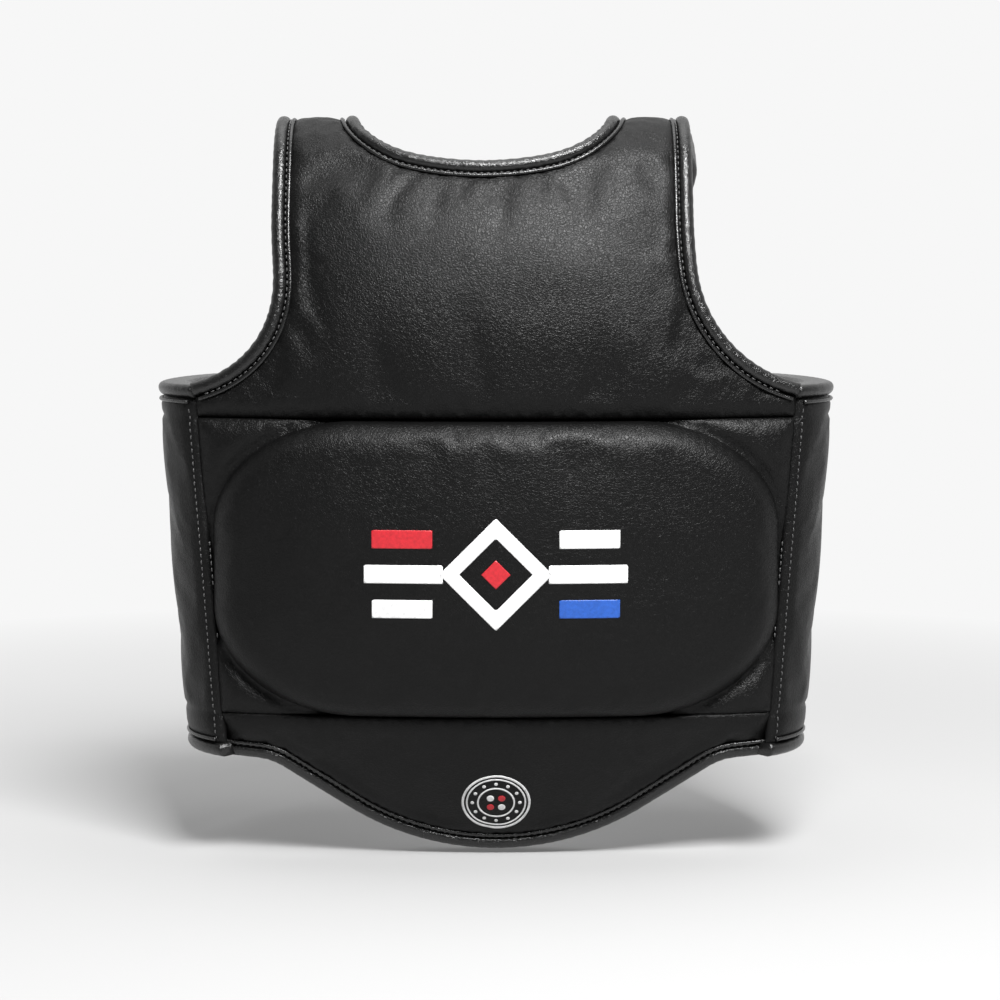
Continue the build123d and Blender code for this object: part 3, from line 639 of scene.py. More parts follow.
# %% [markdown]
# ## Foam pushes the leather out
# A short cloth simulation blows each pad up from inside. The leather is held at its seams and cut a little
# loose, so it wrinkles beside them. How far each point may move is limited.

# %% The cloth step
def settle(piece, sewn, slack, pressure=4.0, frames=14, most=3.0):
    """Cloth pushed out by the foam behind it, held where it is sewn, and then kept as it lies."""
    mesh = piece.data
    before = np.zeros(len(mesh.vertices) * 3)
    mesh.vertices.foreach_get("co", before)
    before = before.reshape(-1, 3)
    held = piece.vertex_groups.new(name="sewn")
    for index, share in enumerate(sewn):
        held.add([index], float(share), "REPLACE")
    cloth = piece.modifiers.new("cloth", "CLOTH")
    cloth.settings.quality = 5
    cloth.settings.mass = 0.25
    cloth.settings.tension_stiffness = 25
    cloth.settings.compression_stiffness = 25
    cloth.settings.shear_stiffness = 15
    cloth.settings.bending_stiffness = 0.6
    cloth.settings.shrink_min = -slack
    cloth.settings.vertex_group_mass = held.name
    cloth.settings.pin_stiffness = 1.0
    cloth.settings.use_pressure = True
    cloth.settings.uniform_pressure_force = pressure
    cloth.settings.effector_weights.gravity = 0
    cloth.point_cache.frame_start = 1
    cloth.point_cache.frame_end = frames
    for frame in range(1, frames + 1):
        bpy.context.scene.frame_set(frame)
    settled = piece.evaluated_get(bpy.context.evaluated_depsgraph_get())
    after = np.zeros(len(mesh.vertices) * 3)
    settled.data.vertices.foreach_get("co", after)
    moved = (after.reshape(-1, 3) - before) / MM
    length = np.linalg.norm(moved, axis=1, keepdims=True)
    moved = moved * most / (most + length)
    piece.modifiers.remove(cloth)
    piece.vertex_groups.remove(held)
    mesh.vertices.foreach_set("co", (before + moved * MM).ravel())
    mesh.update()
    bpy.context.scene.frame_set(1)
    print(piece.name, "settled by up to", round(float(length.max()), 1), "mm")


def lying_on(piece, place, reach=30.0):
    """The height of a finished pad's leather at flat points, found by dropping lines onto it."""
    tree = BVHTree.FromObject(piece, bpy.context.evaluated_depsgraph_get())

    def height(points):
        high = place(points[:, 0], points[:, 1], np.full(len(points), reach)) * MM
        low = place(points[:, 0], points[:, 1], np.full(len(points), -8.0)) * MM
        heights = np.full(len(points), -1.0)
        for i, (a, b) in enumerate(zip(high, low)):
            hit = tree.ray_cast(Vector(a), Vector(b - a).normalized(), (reach + 8.0) * MM)
            if hit[0] is not None:
                heights[i] = reach - hit[3] / MM
        return heights

    return height


# %% [markdown]
# ## Shader expressions
# Leather is mostly arithmetic on noise, so a small class lets the maths be written as it is read: adding two
# values adds a Math node. One method makes any other node from its type, its settings and its inputs.

# %% The shader class
class Value:
    """One output of a node. Arithmetic on it adds Math nodes."""

    def __init__(self, finish, socket):
        self.finish = finish
        self.socket = socket

    def maths(self, operation, other=0.0, swap=False):
        first, second = (other, self) if swap else (self, other)
        return self.finish.node("ShaderNodeMath", {"operation": operation}, {0: first, 1: second})

    def __add__(self, other):
        return self.maths("ADD", other)

    def __sub__(self, other):
        return self.maths("SUBTRACT", other)

    def __rsub__(self, other):
        return self.maths("SUBTRACT", other, True)

    def __mul__(self, other):
        return self.maths("MULTIPLY", other)

    __radd__ = __add__
    __rmul__ = __mul__

    def sine(self):
        return self.maths("SINE")

    def ranged(self, low, high, to_low=0.0, to_high=1.0):
        inputs = {0: self, 1: low, 2: high, 3: to_low, 4: to_high}
        return self.finish.node("ShaderNodeMapRange", {"clamp": True}, inputs)


class Finish:
    """A material: its nodes, and its Principled shader."""

    def __init__(self, name, **fixed):
        self.material = bpy.data.materials.new(name)
        self.material.use_nodes = True
        self.tree = self.material.node_tree
        self.shader = next(n for n in self.tree.nodes if n.type == "BSDF_PRINCIPLED")
        for key, value in fixed.items():
            title = key.replace("_", " ").title().replace("Ior", "IOR")
            self.shader.inputs[title].default_value = value

    def node(self, kind, settings=None, inputs=None, output=0):
        """Any node: settings first, then the values or links of its sockets."""
        made = self.tree.nodes.new(kind)
        for key, value in (settings or {}).items():
            setattr(made, key, value)
        for key, value in (inputs or {}).items():
            self.feed(made.inputs[key], value)
        return Value(self, made.outputs[output])

    def feed(self, socket, value):
        """Link a value to a socket, or set a number or colour on it."""
        if isinstance(value, Value):
            self.tree.links.new(value.socket, socket)
        else:
            socket.default_value = value

    def set(self, name, value):
        """Feed one of the shader's own sockets."""
        self.feed(self.shader.inputs[name], value)

    def place(self):
        """The point on the object, in metres."""
        return self.node("ShaderNodeTexCoord", output="Object")

    def noise(self, scale, detail=3.0, rough=0.55, stretch=None):
        """Noise between 0 and 1, with this many features to the metre."""
        vector = self.place()
        if stretch:
            vector = self.node("ShaderNodeMapping", None, {"Vector": vector, "Scale": stretch})
        inputs = {"Vector": vector, "Scale": scale, "Detail": detail, "Roughness": rough}
        return self.node("ShaderNodeTexNoise", None, inputs)

    def mix(self, share, first, second):
        """A colour between two colours."""
        inputs = {0: share, 6: first, 7: second}
        return self.node("ShaderNodeMix", {"data_type": "RGBA"}, inputs, 2)

    def bump(self, height, distance, strength=1.0, under=None):
        """A normal from a height between 0 and 1 that stands this many metres."""
        inputs = {"Height": height, "Distance": distance, "Strength": strength}
        if under:
            inputs["Normal"] = under
        return self.node("ShaderNodeBump", None, inputs)


def grey(value, warm=0.0):
    """A near neutral colour."""
    return (value * (1 + warm), value, value * (1 - warm), 1.0)


# %% [markdown]
# ## Leather
# Synthetic leather for boxing gear is pressed with an irregular grain of short wrinkles about a millimetre
# apart, and over foam it carries soft creases as well. A cell texture bent by noise gives the grain, a finer
# noise gives pores, and both stand up by less than a fifth of a millimetre.

# %% Leather finish
def leather(name, tone=0.0035, rough=0.43, grain=0.42, crease=0.35, gloss=0.20):
    """Black synthetic leather with a wrinkled grain."""
    f = Finish(name, specular_ior_level=gloss)
    place = f.place()
    bend = f.node("ShaderNodeTexNoise", None, {"Vector": place, "Scale": 300.0, "Detail": 2.0}, 1)
    bent = f.node(
        "ShaderNodeMix", {"data_type": "VECTOR"}, {0: 0.0045, 4: place, 5: bend}, 1
    )
    cells = f.node(
        "ShaderNodeTexVoronoi",
        {"feature": "DISTANCE_TO_EDGE"},
        {"Vector": bent, "Scale": 520.0, "Randomness": 1.0},
    )
    wrinkle = cells.ranged(0.0, 0.22)
    fine = f.noise(1500.0, 3.0)
    patch = f.noise(26.0, 3.0)
    fold = f.noise(75.0, 4.0, 0.6)
    height = wrinkle * 0.72 + fine * 0.28
    worn = (fold * 0.5 + wrinkle * 0.5).ranged(0.25, 0.8)
    f.set("Base Color", f.mix(worn, grey(tone * 0.72), grey(tone * 1.25)))
    shine = rough + (patch - 0.5) * 0.08 - wrinkle * 0.05 + (fine - 0.5) * 0.10
    f.set("Roughness", shine)
    creases = f.bump(fold, 0.0011 * crease, 0.30)
    f.set("Normal", f.bump(height, 0.00042 * grain, 0.85, creases))
    return f.material


cover_leather = leather("cover_leather")
edge_leather = leather("edge_leather", tone=0.007, rough=0.33, grain=0.35, crease=2.0, gloss=0.55)
piping_leather = leather("piping_leather", tone=0.008, rough=0.30, grain=0.25, crease=0.6, gloss=0.6)

# %% [markdown]
# ## Cloth, thread, hook tape and metal
# Woven bands are two crossed waves. Thread, hook tape, plating and print each need only a noise or two.

# %% The other finishes
def woven(name, tone, pitch, depth, rough=0.85, direction=(1.0, 1.0, 1.0), sheen=0.25):
    """A plain weave: two crossed sets of yarns, from the waves of their coordinates."""
    f = Finish(name, sheen_weight=sheen, sheen_roughness=0.5, specular_ior_level=0.25)
    place = f.place()
    x, y, z = (f.node("ShaderNodeSeparateXYZ", None, {"Vector": place}, k) for k in range(3))
    turn = 2 * math.pi / pitch
    across = ((x * direction[0] + y * direction[1]) * turn).sine()
    along = (z * (turn * direction[2])).sine()
    yarn = (across * along).ranged(-1.0, 1.0)
    fuzz = f.noise(2200.0, 2.0)
    height = yarn * 0.75 + fuzz * 0.25
    f.set("Base Color", f.mix(height, grey(tone * 0.55), grey(tone * 1.5)))
    f.set("Roughness", rough + (fuzz - 0.5) * 0.15)
    f.set("Normal", f.bump(height, depth, 0.8))
    return f.material


lining_cloth = woven("lining_cloth", 0.020, 0.0016, 0.00022)
webbing_cloth = woven("webbing_cloth", 0.018, 0.0024, 0.0004, 0.75)
elastic_cloth = woven("elastic_cloth", 0.018, 0.0030, 0.0004, 0.7)


def thread(name, tone):
    """Bonded polyester thread, twisted and slightly shiny."""
    f = Finish(name, specular_ior_level=0.5)
    twist = f.noise(2600.0, 2.0, 0.5, stretch=(1.0, 1.0, 3.0))
    f.set("Base Color", f.mix(twist, grey(tone * 0.6), grey(tone * 1.5)))
    f.set("Roughness", 0.42 + (twist - 0.5) * 0.2)
    f.set("Normal", f.bump(twist, 0.0001, 0.6))
    return f.material


black_thread = thread("black_thread", 0.055)


def hook_finish(name, scale, depth):
    """Hook or loop tape: a dense field of small tufts."""
    f = Finish(name, sheen_weight=0.3, specular_ior_level=0.3)
    inputs = {"Vector": f.place(), "Scale": scale, "Randomness": 0.5}
    tufts = f.node("ShaderNodeTexVoronoi", {"feature": "F1"}, inputs)
    bump = 1 - tufts.ranged(0.0, 0.55)
    f.set("Base Color", f.mix(bump, grey(0.006), grey(0.03)))
    f.set("Roughness", 0.7 + (f.noise(900.0) - 0.5) * 0.2)
    f.set("Normal", f.bump(bump, depth, 0.9))
    return f.material


hook_tape = hook_finish("hook_tape", 620.0, 0.0008)
loop_tape = hook_finish("loop_tape", 900.0, 0.0006)


def plated(name):
    """Nickel-plated steel wire, a little dulled by handling."""
    f = Finish(name, metallic=1.0)
    marks = f.noise(900.0, 4.0, stretch=(1.0, 0.3, 1.0))
    smudge = f.noise(60.0, 3.0)
    f.set("Base Color", f.mix(smudge, (0.42, 0.42, 0.43, 1), (0.62, 0.62, 0.63, 1)))
    f.set("Roughness", 0.22 + (smudge - 0.5) * 0.12 + (marks - 0.5) * 0.08)
    f.set("Normal", f.bump(marks, 0.00003, 0.5))
    return f.material


ring_metal = plated("ring_metal")


def printed(name, colour):
    """A heat-pressed print: smooth, slightly worn, following the grain underneath."""
    f = Finish(name, specular_ior_level=0.45)
    worn = f.noise(420.0, 4.0, 0.65)
    patch = f.noise(60.0, 3.0)
    dark = tuple(c * 0.72 for c in colour) + (1.0,)
    light = tuple(colour) + (1.0,)
    f.set("Base Color", f.mix(worn.ranged(0.3, 0.62), dark, light))
    f.set("Roughness", 0.42 + (patch - 0.5) * 0.15)
    f.set("Normal", f.bump(worn, 0.00008, 0.6))
    return f.material


white_print = printed("white_print", (0.80, 0.80, 0.80))
red_print = printed("red_print", (0.55, 0.02, 0.03))
blue_print = printed("blue_print", (0.02, 0.10, 0.45))
print("finishes:", len(bpy.data.materials))

# %% [markdown]
# ## The camera and the studio
# The catalogue view looks straight at the front from a little above, through a long lens. The floor is pale,
# and the lights are soft boxes: the leaning chest mirrors the one overhead, and the upright belly mirrors
# the dark room behind the camera, which is why it looks almost black. The floor also glows, as painted
# light: faintly near the vest, and more with distance until it is as bright as the backdrop.

# %% Camera, floor and lights
def area_light(name, place, target, size, power):
    """A soft box that faces its target."""
    light = bpy.data.lights.new(name, "AREA")
    light.shape = "RECTANGLE"
    light.size, light.size_y = size
    light.energy = power
    box = bpy.data.objects.new(name, light)
    box.location = place
    box.rotation_euler = (Vector(target) - Vector(place)).to_track_quat("-Z", "Y").to_euler()
    bpy.context.scene.collection.objects.link(box)


camera = bpy.data.objects.new("camera", bpy.data.cameras.new("camera"))
camera.data.lens = 97.0
camera.data.sensor_width = 36.0
camera.location = (0.0028, -1.963, 0.237)
camera.rotation_euler = (math.radians(90 - 5.845), 0, 0)
bpy.context.scene.collection.objects.link(camera)
bpy.context.scene.camera = camera
bpy.context.scene.view_settings.view_transform = "Standard"

floor_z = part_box("hem_binding")[0].z - 0.0035
reach = 6000
corners = [(-reach, -reach, 0), (reach, -reach, 0), (reach, reach, 0), (-reach, reach, 0)]
floor = new_mesh("floor", corners, [(0, 1, 2, 3)])
floor.location.z = floor_z
# Painted light: the floor glows a little near the vest and more with distance, and its lit colour fades to
# black, so far away only a glow as bright as the backdrop is left.
floor_finish = Finish("studio_floor", emission_strength=1.0, roughness=0.9, specular_ior_level=0.0)
away = floor_finish.node("ShaderNodeVectorMath", {"operation": "LENGTH"}, {0: floor_finish.place()}, 1)
ahead = floor_finish.node("ShaderNodeSeparateXYZ", None, {"Vector": floor_finish.place()}, 1)
glow_share = away.ranged(0.30, 1.20) * ahead.ranged(-1.3, -0.8)
floor_finish.set("Base Color", floor_finish.mix(glow_share, grey(0.37), grey(0.0)))
floor_finish.set("Emission Color", floor_finish.mix(glow_share, grey(0.11), grey(0.93)))
floor.data.materials.append(floor_finish.material)


class Studio(Finish):
    """The room: pale to look at, dark ahead of the vest and bright behind it for its lighting."""

    def __init__(self):
        self.world = bpy.data.worlds.new("studio")
        self.world.use_nodes = True
        self.tree = self.world.node_tree
        self.backdrop = self.tree.nodes["Background"]
        bpy.context.scene.world = self.world


room = Studio()
direction = room.node("ShaderNodeTexCoord", output="Generated")
parts = room.node("ShaderNodeSeparateXYZ", None, {"Vector": direction}, 1)
level = parts.ranged(-0.35, 0.55, 0.02, 0.80)
glow = room.node("ShaderNodeCombineColor", None, {0: level, 1: level, 2: level})
seen = room.node("ShaderNodeLightPath", output="Is Camera Ray")
room.feed(room.backdrop.inputs["Color"], room.mix(seen, glow, grey(0.93)))
area_light("key", (0.45, -1.35, 1.75), (0.02, -0.1, 0.2), (1.0, 0.7), 108)
area_light("overhead", (0.0, 0.3, 2.0), (0, 0, 0.0), (2.2, 1.4), 20)
print("camera and studio ready")

# %% [markdown]
# ## The chest and shoulders
# The upper panel is one pad from the seam over the belly to the ends of the shoulder straps, cut at the neck
# and the armholes. Its leather is pulled down at every edge, so it rises in a quarter round beside each
# seam and then swells slowly towards the middle.

# %% Chest pad
tape_width = 6.0
pad_thickness, belly_thickness, oval_sink = 22.0, 30.0, 9.0


def fold_line(v_low, v_high, side=1):
    """The fold, from one length along the front to another, just inside the panel."""
    v = np.linspace(v_low, v_high, max(3, int(abs(v_high - v_low) / 2.5)))
    return np.stack([side * (fold_x_at(v) - fold_gap), v], -1)


def seam_line(v):
    """A seam straight across the front."""
    half = float(fold_x_at(v)) - fold_gap
    return resample(np.array([(-half, v), (half, v)]), 2.5)


def swelling(
    outline, drop, width, crown, crown_width, rough, seed, seams=(), seam_depth=4.0, seam_width=11.0
):
    """The height of a pad's leather, from its distance to the edge and to each sewn line."""

    def height(points):
        gap = distance_to(points, outline, True)
        full = -drop * (1 - roll(gap, width)) + crown * smooth(gap / crown_width)
        full = full + waves(points, 70.0, rough, seed=seed) * smooth(gap / 25.0)
        for seam in seams:
            full = full + groove(distance_to(points, seam), seam_depth, seam_width)
        return full

    return height


chest_top = upper_edge(tape_width)
chest_outline = chain(
    chest_top,
    fold_line(chest_top[-1, 1] - 2.5, belly_top),
    seam_line(belly_top)[::-1],
    fold_line(belly_top, chest_top[0, 1] - 2.5, -1),
)
chest_height = swelling(
    chest_outline, drop=7.0, width=15.0, crown=2.5, crown_width=70.0, rough=0.35, seed=1
)
chest_pad = pad("chest_pad", chest_outline, on_front, chest_height, -pad_thickness)
print("chest pad", len(chest_pad.data.polygons), "faces")

# %% [markdown]
# ## The belly and its target pad
# The belly is a plain quilted block. The oval pad is cut as a separate cushion, closed with its own foam,
# and sewn down round its edge, so it stands up steeply and stays nearly flat across the middle.

# %% Belly pad and oval pad
oval_half = 197.0
oval_rise = 102.5
corner_width, corner_height = 100.0, 75.0


def oval_line(inset):
    """The oval's edge: a rectangle whose corners are quarter ellipses."""
    angles = np.radians(np.linspace(0, 90, 60))
    x = oval_half - corner_width + (corner_width - inset) * np.cos(angles)
    v = oval_rise - corner_height + (corner_height - inset) * np.sin(angles)
    upper = np.stack([x, v], -1)
    right = chain(upper[::-1], upper * np.array([1, -1]))
    line = chain(right, right[::-1] * np.array([-1, 1]))
    return resample(np.concatenate([line, line[:1]]), 2.5)[:-1]


belly_outline = chain(
    seam_line(belly_bottom),
    fold_line(belly_bottom, belly_top)[1:],
    seam_line(belly_top)[::-1],
    fold_line(belly_top, belly_bottom, -1)[1:-1],
)
belly_height = swelling(
    belly_outline,
    drop=7.0,
    width=13.0,
    crown=0.6,
    crown_width=40.0,
    rough=0.2,
    seed=2,
    seams=[oval_line(-1.0)],
    seam_depth=6.5,
    seam_width=17.0,
)
belly_pad = pad("belly_pad", belly_outline, on_front, belly_height, -belly_thickness)


def oval_height(points):
    """The oval pad's leather: steep at its seam, then almost flat."""
    gap = distance_to(points, oval_line(0), True)
    swell = -6.0 + 17.0 * roll(gap, 22.0) + 4.5 * smooth(gap / 80.0)
    return swell + waves(points, 80.0, 0.30, seed=5) * smooth(gap / 30.0)


oval_pad = pad("oval_pad", oval_line(0), on_front, oval_height, -oval_sink)
print("oval pad", len(oval_pad.data.polygons), "faces")

# %% [markdown]
# ## The hem flap
# Below the belly the vest ends in a flap with a broad tongue. It tucks in under the belly, so the seam
# between them is a sharp crease.

# %% Hem pad
hem_low = lower_edge(tape_width)
hem_outline = chain(
    hem_low,
    fold_line(hem_low[-1, 1] + 2.5, belly_bottom),
    seam_line(belly_bottom)[::-1],
    fold_line(belly_bottom, hem_low[0, 1] + 2.5, -1),
)
hem_height = swelling(hem_outline, drop=7.0, width=13.0, crown=1.2, crown_width=45.0, rough=0.3, seed=4)
hem_pad = pad("hem_pad", hem_outline, on_front, hem_height, -pad_thickness)

# %% [markdown]
# ## The marks
# Makers press their marks into the leather with heat. Here they are plain shapes: bars beside an open
# diamond on the oval pad, and a round badge of rings on the tongue. Each is cut as a thin film that lies on
# the swelled leather.

# %% Printed marks
def film(name, outline, height, material, holes=(), lift=0.12, thickness=0.25):
    """A thin print with this outline, lying on the leather."""
    shape = np.asarray(outline, float)
    flat, faces = fill(shape, 3.5, [resample(np.vstack([h, h[:1]]), 1.2) for h in holes], (0.7,))
    centre = np.array([flat[list(f)].mean(0) for f in faces])
    keep = np.ones(len(faces), bool)
    for hole in holes:
        keep &= ~inside(centre, np.asarray(hole, float))
    faces = [f for f, k in zip(faces, keep) if k]
    used = sorted({i for f in faces for i in f})
    place = {old: new for new, old in enumerate(used)}
    flat = flat[used]
    faces = [tuple(place[i] for i in f) for f in faces]
    lifts = height(flat) + lift
    top = on_front(flat[:, 0], flat[:, 1], lifts + thickness)
    low = on_front(flat[:, 0], flat[:, 1], lifts)
    count = len(flat)
    under = [tuple(i + count for i in f[::-1]) for f in faces]
    rim = [(b, a, a + count, b + count) for a, b in boundary_loops(faces)]
    piece = new_mesh(name, np.concatenate([top, low]), faces + under + rim, [material])
    facing_out(piece)
    return piece


def joined(name, pieces):
    """Several pieces as one object."""
    with bpy.context.temp_override(
        active_object=pieces[0], selected_editable_objects=pieces, selected_objects=pieces
    ):
        bpy.ops.object.join()
    pieces[0].name = name
    pieces[0].data.name = name
    return pieces[0]


def bar(x, v, length, width):
    """A bar's outline."""
    x0, x1, v0, v1 = x - length / 2, x + length / 2, v - width / 2, v + width / 2
    return resample(np.array([(x0, v0), (x1, v0), (x1, v1), (x0, v1), (x0, v0)]), 2.0)[:-1]


def circle(radius, centre):
    """A circle's outline."""
    angles = np.linspace(0, 2 * math.pi, max(24, int(radius * 4)), endpoint=False)
    return np.stack([centre[0] + radius * np.cos(angles), centre[1] + radius * np.sin(angles)], -1)


def diamond(half):
    """A diamond's outline."""
    return resample(np.array([(half, 0), (0, half), (-half, 0), (0, -half), (half, 0)]), 2.0)[:-1]


oval_top = lying_on(oval_pad, on_front)
hem_top = lying_on(hem_pad, on_front)
mark_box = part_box("target_mark")
mark_half = mark_box[1].x / MM
mark_colours = {(-1, 1): red_print, (1, -1): blue_print}
bar_length, bar_shortening, bar_shift, bar_pitch, bar_height = 54.0, 12.6, 5.4, 23.9, 12.6
films = []
for row in (-1, 0, 1):
    length = bar_length - bar_shortening * abs(row)
    for side in (-1, 1):
        middle = side * (mark_half - length / 2 - bar_shift * abs(row))
        shape = bar(middle, row * bar_pitch, length, bar_height)
        films.append(film("bar", shape, oval_top, mark_colours.get((side, row), white_print)))
films.append(film("diamond", diamond(38.6), oval_top, white_print, [diamond(24.9)]))
films.append(film("inner_diamond", diamond(10.0), oval_top, red_print))
print_mark = joined("print_mark", films)

badge_drop = 62.0
badge_centre = (0.0, belly_bottom - badge_drop / math.cos(hem_tuck))
rings = []
for outer, inner in ((24.3, 22.6), (21.2, 20.0), (13.4, 12.2)):
    shape = circle(outer, badge_centre)
    rings.append(film("ring", shape, hem_top, white_print, [circle(inner, badge_centre)]))
for k in range(4):
    angle = math.pi / 4 + k * math.pi / 2
    centre = (badge_centre[0] + 5.6 * math.cos(angle), badge_centre[1] + 5.6 * math.sin(angle))
    rings.append(film("dot", circle(2.6, centre), hem_top, white_print if k % 2 else red_print))
for k in range(12):
    angle = 2 * math.pi * k / 12
    centre = (badge_centre[0] + 16.7 * math.cos(angle), badge_centre[1] + 16.7 * math.sin(angle))
    rings.append(film("bead", circle(1.3, centre), hem_top, white_print))
badge_print = joined("badge_print", rings)
print("marks:", len(print_mark.data.polygons), "and", len(badge_print.data.polygons), "faces")

# %% [markdown]
# ## Bindings and pipings
# Every raw edge is closed with a rolled tape. The tape is sewn to the front, turned over the edge and sewn
# behind, with a thin piping caught in the front seam. On inner curves the tape has too much length and
# puckers.

# %% Front bindings
tape_lap, tape_overhang, tape_behind = 1.9, 1.3, 0.8
tape_stand, wing_tape_stand, tape_round = 2.2, 0.8, 4.4


def tape_bar(stand):
    """The rolled tape's section, standing this proud of the leather."""
    low = -pad_thickness - tape_behind
    return rounded_box(-tape_lap, tape_width + tape_overhang, low, stand, tape_round, 7)


tape_profile = tape_bar(tape_stand)
cord_radius, cord_step, cord_height = 1.35, -4.7, -0.4
cord_profile = [
    (
        cord_step + cord_radius * math.cos(math.radians(a)),
        cord_height + cord_radius * math.sin(math.radians(a)),
    )
    for a in range(0, 360, 36)
]
upper_line = upper_edge(tape_width)
lower_line = lower_edge(tape_width)
upper_tape = edging("upper_tape", upper_line, tape_profile, on_front, edge_leather, 0.10)
hem_tape = edging("hem_tape", lower_line, tape_profile, on_front, edge_leather, 0.05, -1)
upper_cord = edging("upper_cord", upper_line[1:-1], cord_profile, on_front, piping_leather, 0.03)
hem_cord = edging("hem_cord", lower_line, cord_profile, on_front, piping_leather, 0.03, -1)

# %% [markdown]
# ## The wings
# The wings wrap the ribs. The same seams that cross the front run on over them, and both edges of each fold
# are topstitched.

# %% Wings
table_s = np.linspace(0, wing_s, 400)
table_y = on_wing(1)(table_s, np.zeros(400), 0.0)[:, 1]
rear_y = table_y[-1] + 3.0
wing_corner = 55.0
wing_stitch_s = 6.4


def s_at(y, z):
    """The length round the wing that reaches this depth at this height."""
    shift = fold_at(z)[1] - fold_at(0.0)[1]
    return np.interp(np.asarray(y, float) - shift, table_y, table_s)


def wing_edge(inset):
    """The wing's bound edge: from the fold along the top, down the rear and back along the bottom."""
    y = rear_y - inset
    top, low, radius = wing_top - inset, wing_bottom + inset, wing_corner - inset
    front = table_y[0] - 20.0
    upper = resample(np.array([(front, top), (y - radius, top)]), 2.5)
    first = arc((y - radius, top - radius), radius, 90, -90)
    second = arc((y - radius, low + radius), radius, 0, -90)
    lower = resample(np.array([(y - radius, low), (front, low)]), 2.5)
    line = chain(upper, first, second, lower)
    s = np.minimum(s_at(line[:, 0], line[:, 1]), wing_s - inset)
    line = chain(np.stack([s, line[:, 1]], -1))
    dense = resample(rounded(resample(line, 2.0), 3), 0.2)
    return resample(dense[dense[:, 0] > fold_gap], 2.5)


wing_line = wing_edge(tape_width)
wing_outline = chain(
    wing_line,
    resample(np.array([(fold_gap, wing_line[-1, 1] + 2.5), (fold_gap, wing_line[0, 1] - 2.5)]), 2.5),
)
wing_seams = [
    resample(np.array([(fold_gap + 0.8, z), (s_at(rear_y, z) - 7.0, z)]), 2.5)
    for z in (belly_top, belly_bottom)
]
wing_height = swelling(
    wing_outline,
    drop=7.0,
    width=14.0,
    crown=0.4,
    crown_width=50.0,
    rough=0.25,
    seed=6,
    seams=wing_seams,
    seam_depth=1.8,
    seam_width=6.0,
)
inner_start = front_radius * (
    math.asin(front_radius * math.sin(start_heading) / (front_radius - pad_thickness)) - start_heading
)


def inside_wing(place):
    """The wing's inner surface, which starts at the fold's plane."""

    def surface(s, z, h):
        return place(inner_start + s * (1 - inner_start / wing_s), z, h)

    return surface


wing_tape_profile = tape_bar(wing_tape_stand)
wing_pads = {}
for name, side in (("left", -1), ("right", 1)):
    place = on_wing(side)
    wing_pads[name] = pad(
        f"{name}_wing_pad",
        wing_outline,
        place,
        wing_height,
        -pad_thickness,
        inner_place=inside_wing(place),
        slack=0.006,
    )
    tape = edging(f"{name}_wing_tape", wing_line, wing_tape_profile, place, edge_leather, 0.04)
    cord = edging(f"{name}_wing_cord", wing_line[2:-2], cord_profile, place, piping_leather, 0.03)
    fold_row = resample(
        np.array([(wing_stitch_s, wing_bottom + 9.0), (wing_stitch_s, wing_top - 9.0)]), 2.0
    )
    sewn = stitches(f"{name}_wing_stitches", [(fold_row, lying_on(wing_pads[name], place))], place)
    body = f"{name}_wing"
    layers = [f"{body}_{layer}" for layer in ("cover", "foam", "lining")]
    fit(wing_pads[name], body, layers, "black_leather")
    fit(tape, body, [f"{body}_binding"], "edge_binding")
    fit(cord, body, [f"{body}_piping"], "piping")
    fit(sewn, body)
print("wings:", len(wing_pads), "with edge", len(wing_line), "points")

# %% [markdown]
# ## Stitches
# Bonded thread shows as small bright bars in a shallow groove, beside each fold and beside the piping.

# %% Front stitches
def ditch(points):
    """The height of the ditch between the tape and the piping."""
    return np.full(len(points), -0.7)


belly_top_face, chest_top_face = lying_on(belly_pad, on_front), lying_on(chest_pad, on_front)
fold_stitch_inset, ditch_inset = 2.9, tape_width + 2.7
rows = []
for side in (-1, 1):
    x_in = np.array([side * fold_stitch_inset, 0.0])
    low_row = fold_line(lower_line[-1, 1] + 4.0, belly_bottom - 3.0, side) - x_in
    middle_row = fold_line(belly_bottom + 3.0, belly_top - 3.0, side) - x_in
    upper_row = fold_line(belly_top + 3.0, chest_top[-1, 1] - 3.0, side) - x_in
    rows += [(low_row, hem_top), (middle_row, belly_top_face), (upper_row, chest_top_face)]
rows.append((upper_edge(ditch_inset)[3:-3], ditch))
rows.append((lower_edge(ditch_inset)[3:-3], ditch))
front_stitches = stitches("front_stitches", rows, on_front)

sides = ("left", "right")
shoulders = [f"{name}_shoulder_{layer}" for name in sides for layer in ("cover", "foam")]
upper_nodes = [f"{name}_{edge}_binding" for edge in ("armhole", "shoulder") for name in sides]
for piece, nodes in (
    (chest_pad, ["chest_cover", "chest_foam", "chest_lining", *shoulders]),
    (belly_pad, ["belly_cover", "belly_foam", "belly_lining"]),
    (oval_pad, ["target_cover", "target_foam"]),
    (hem_pad, ["hem_cover", "hem_foam", "hem_lining"]),
):
    fit(piece, "front", nodes, "black_leather")
fit(print_mark, "front", ["target_mark"], "mark_print")
fit(badge_print, "front", ["badge"], "badge_print")
fit(upper_tape, "front", ["neck_binding", *upper_nodes], "edge_binding")
fit(hem_tape, "front", ["hem_binding"], "edge_binding")
fit(upper_cord, "front", ["neck_piping", "left_armhole_piping", "right_armhole_piping"], "piping")
fit(hem_cord, "front", ["hem_piping"], "piping")
fit(front_stitches, "front")

# %% [markdown]
# ## The waist strap
# A wide elastic closes the wings behind the back. It is sewn to the left wing over an anchor patch and grips
# a loop patch on the right wing with hook tape, so it only needs to be laid round the same curve.

# %% Waist strap
strap_half = 40.0
elastic_thickness = 2.5
patch_thickness, patch_half = 1.8, 36.0
lap_gap = 4.0
strap_bow, root_gap, join_gap = 15.8, 6.0, 0.4
rear_heading, lap_heading = 150, 130


def s_of(heading):
    """The length round the wing to a heading in degrees."""
    return turn_s + side_radius * math.radians(heading - 90)


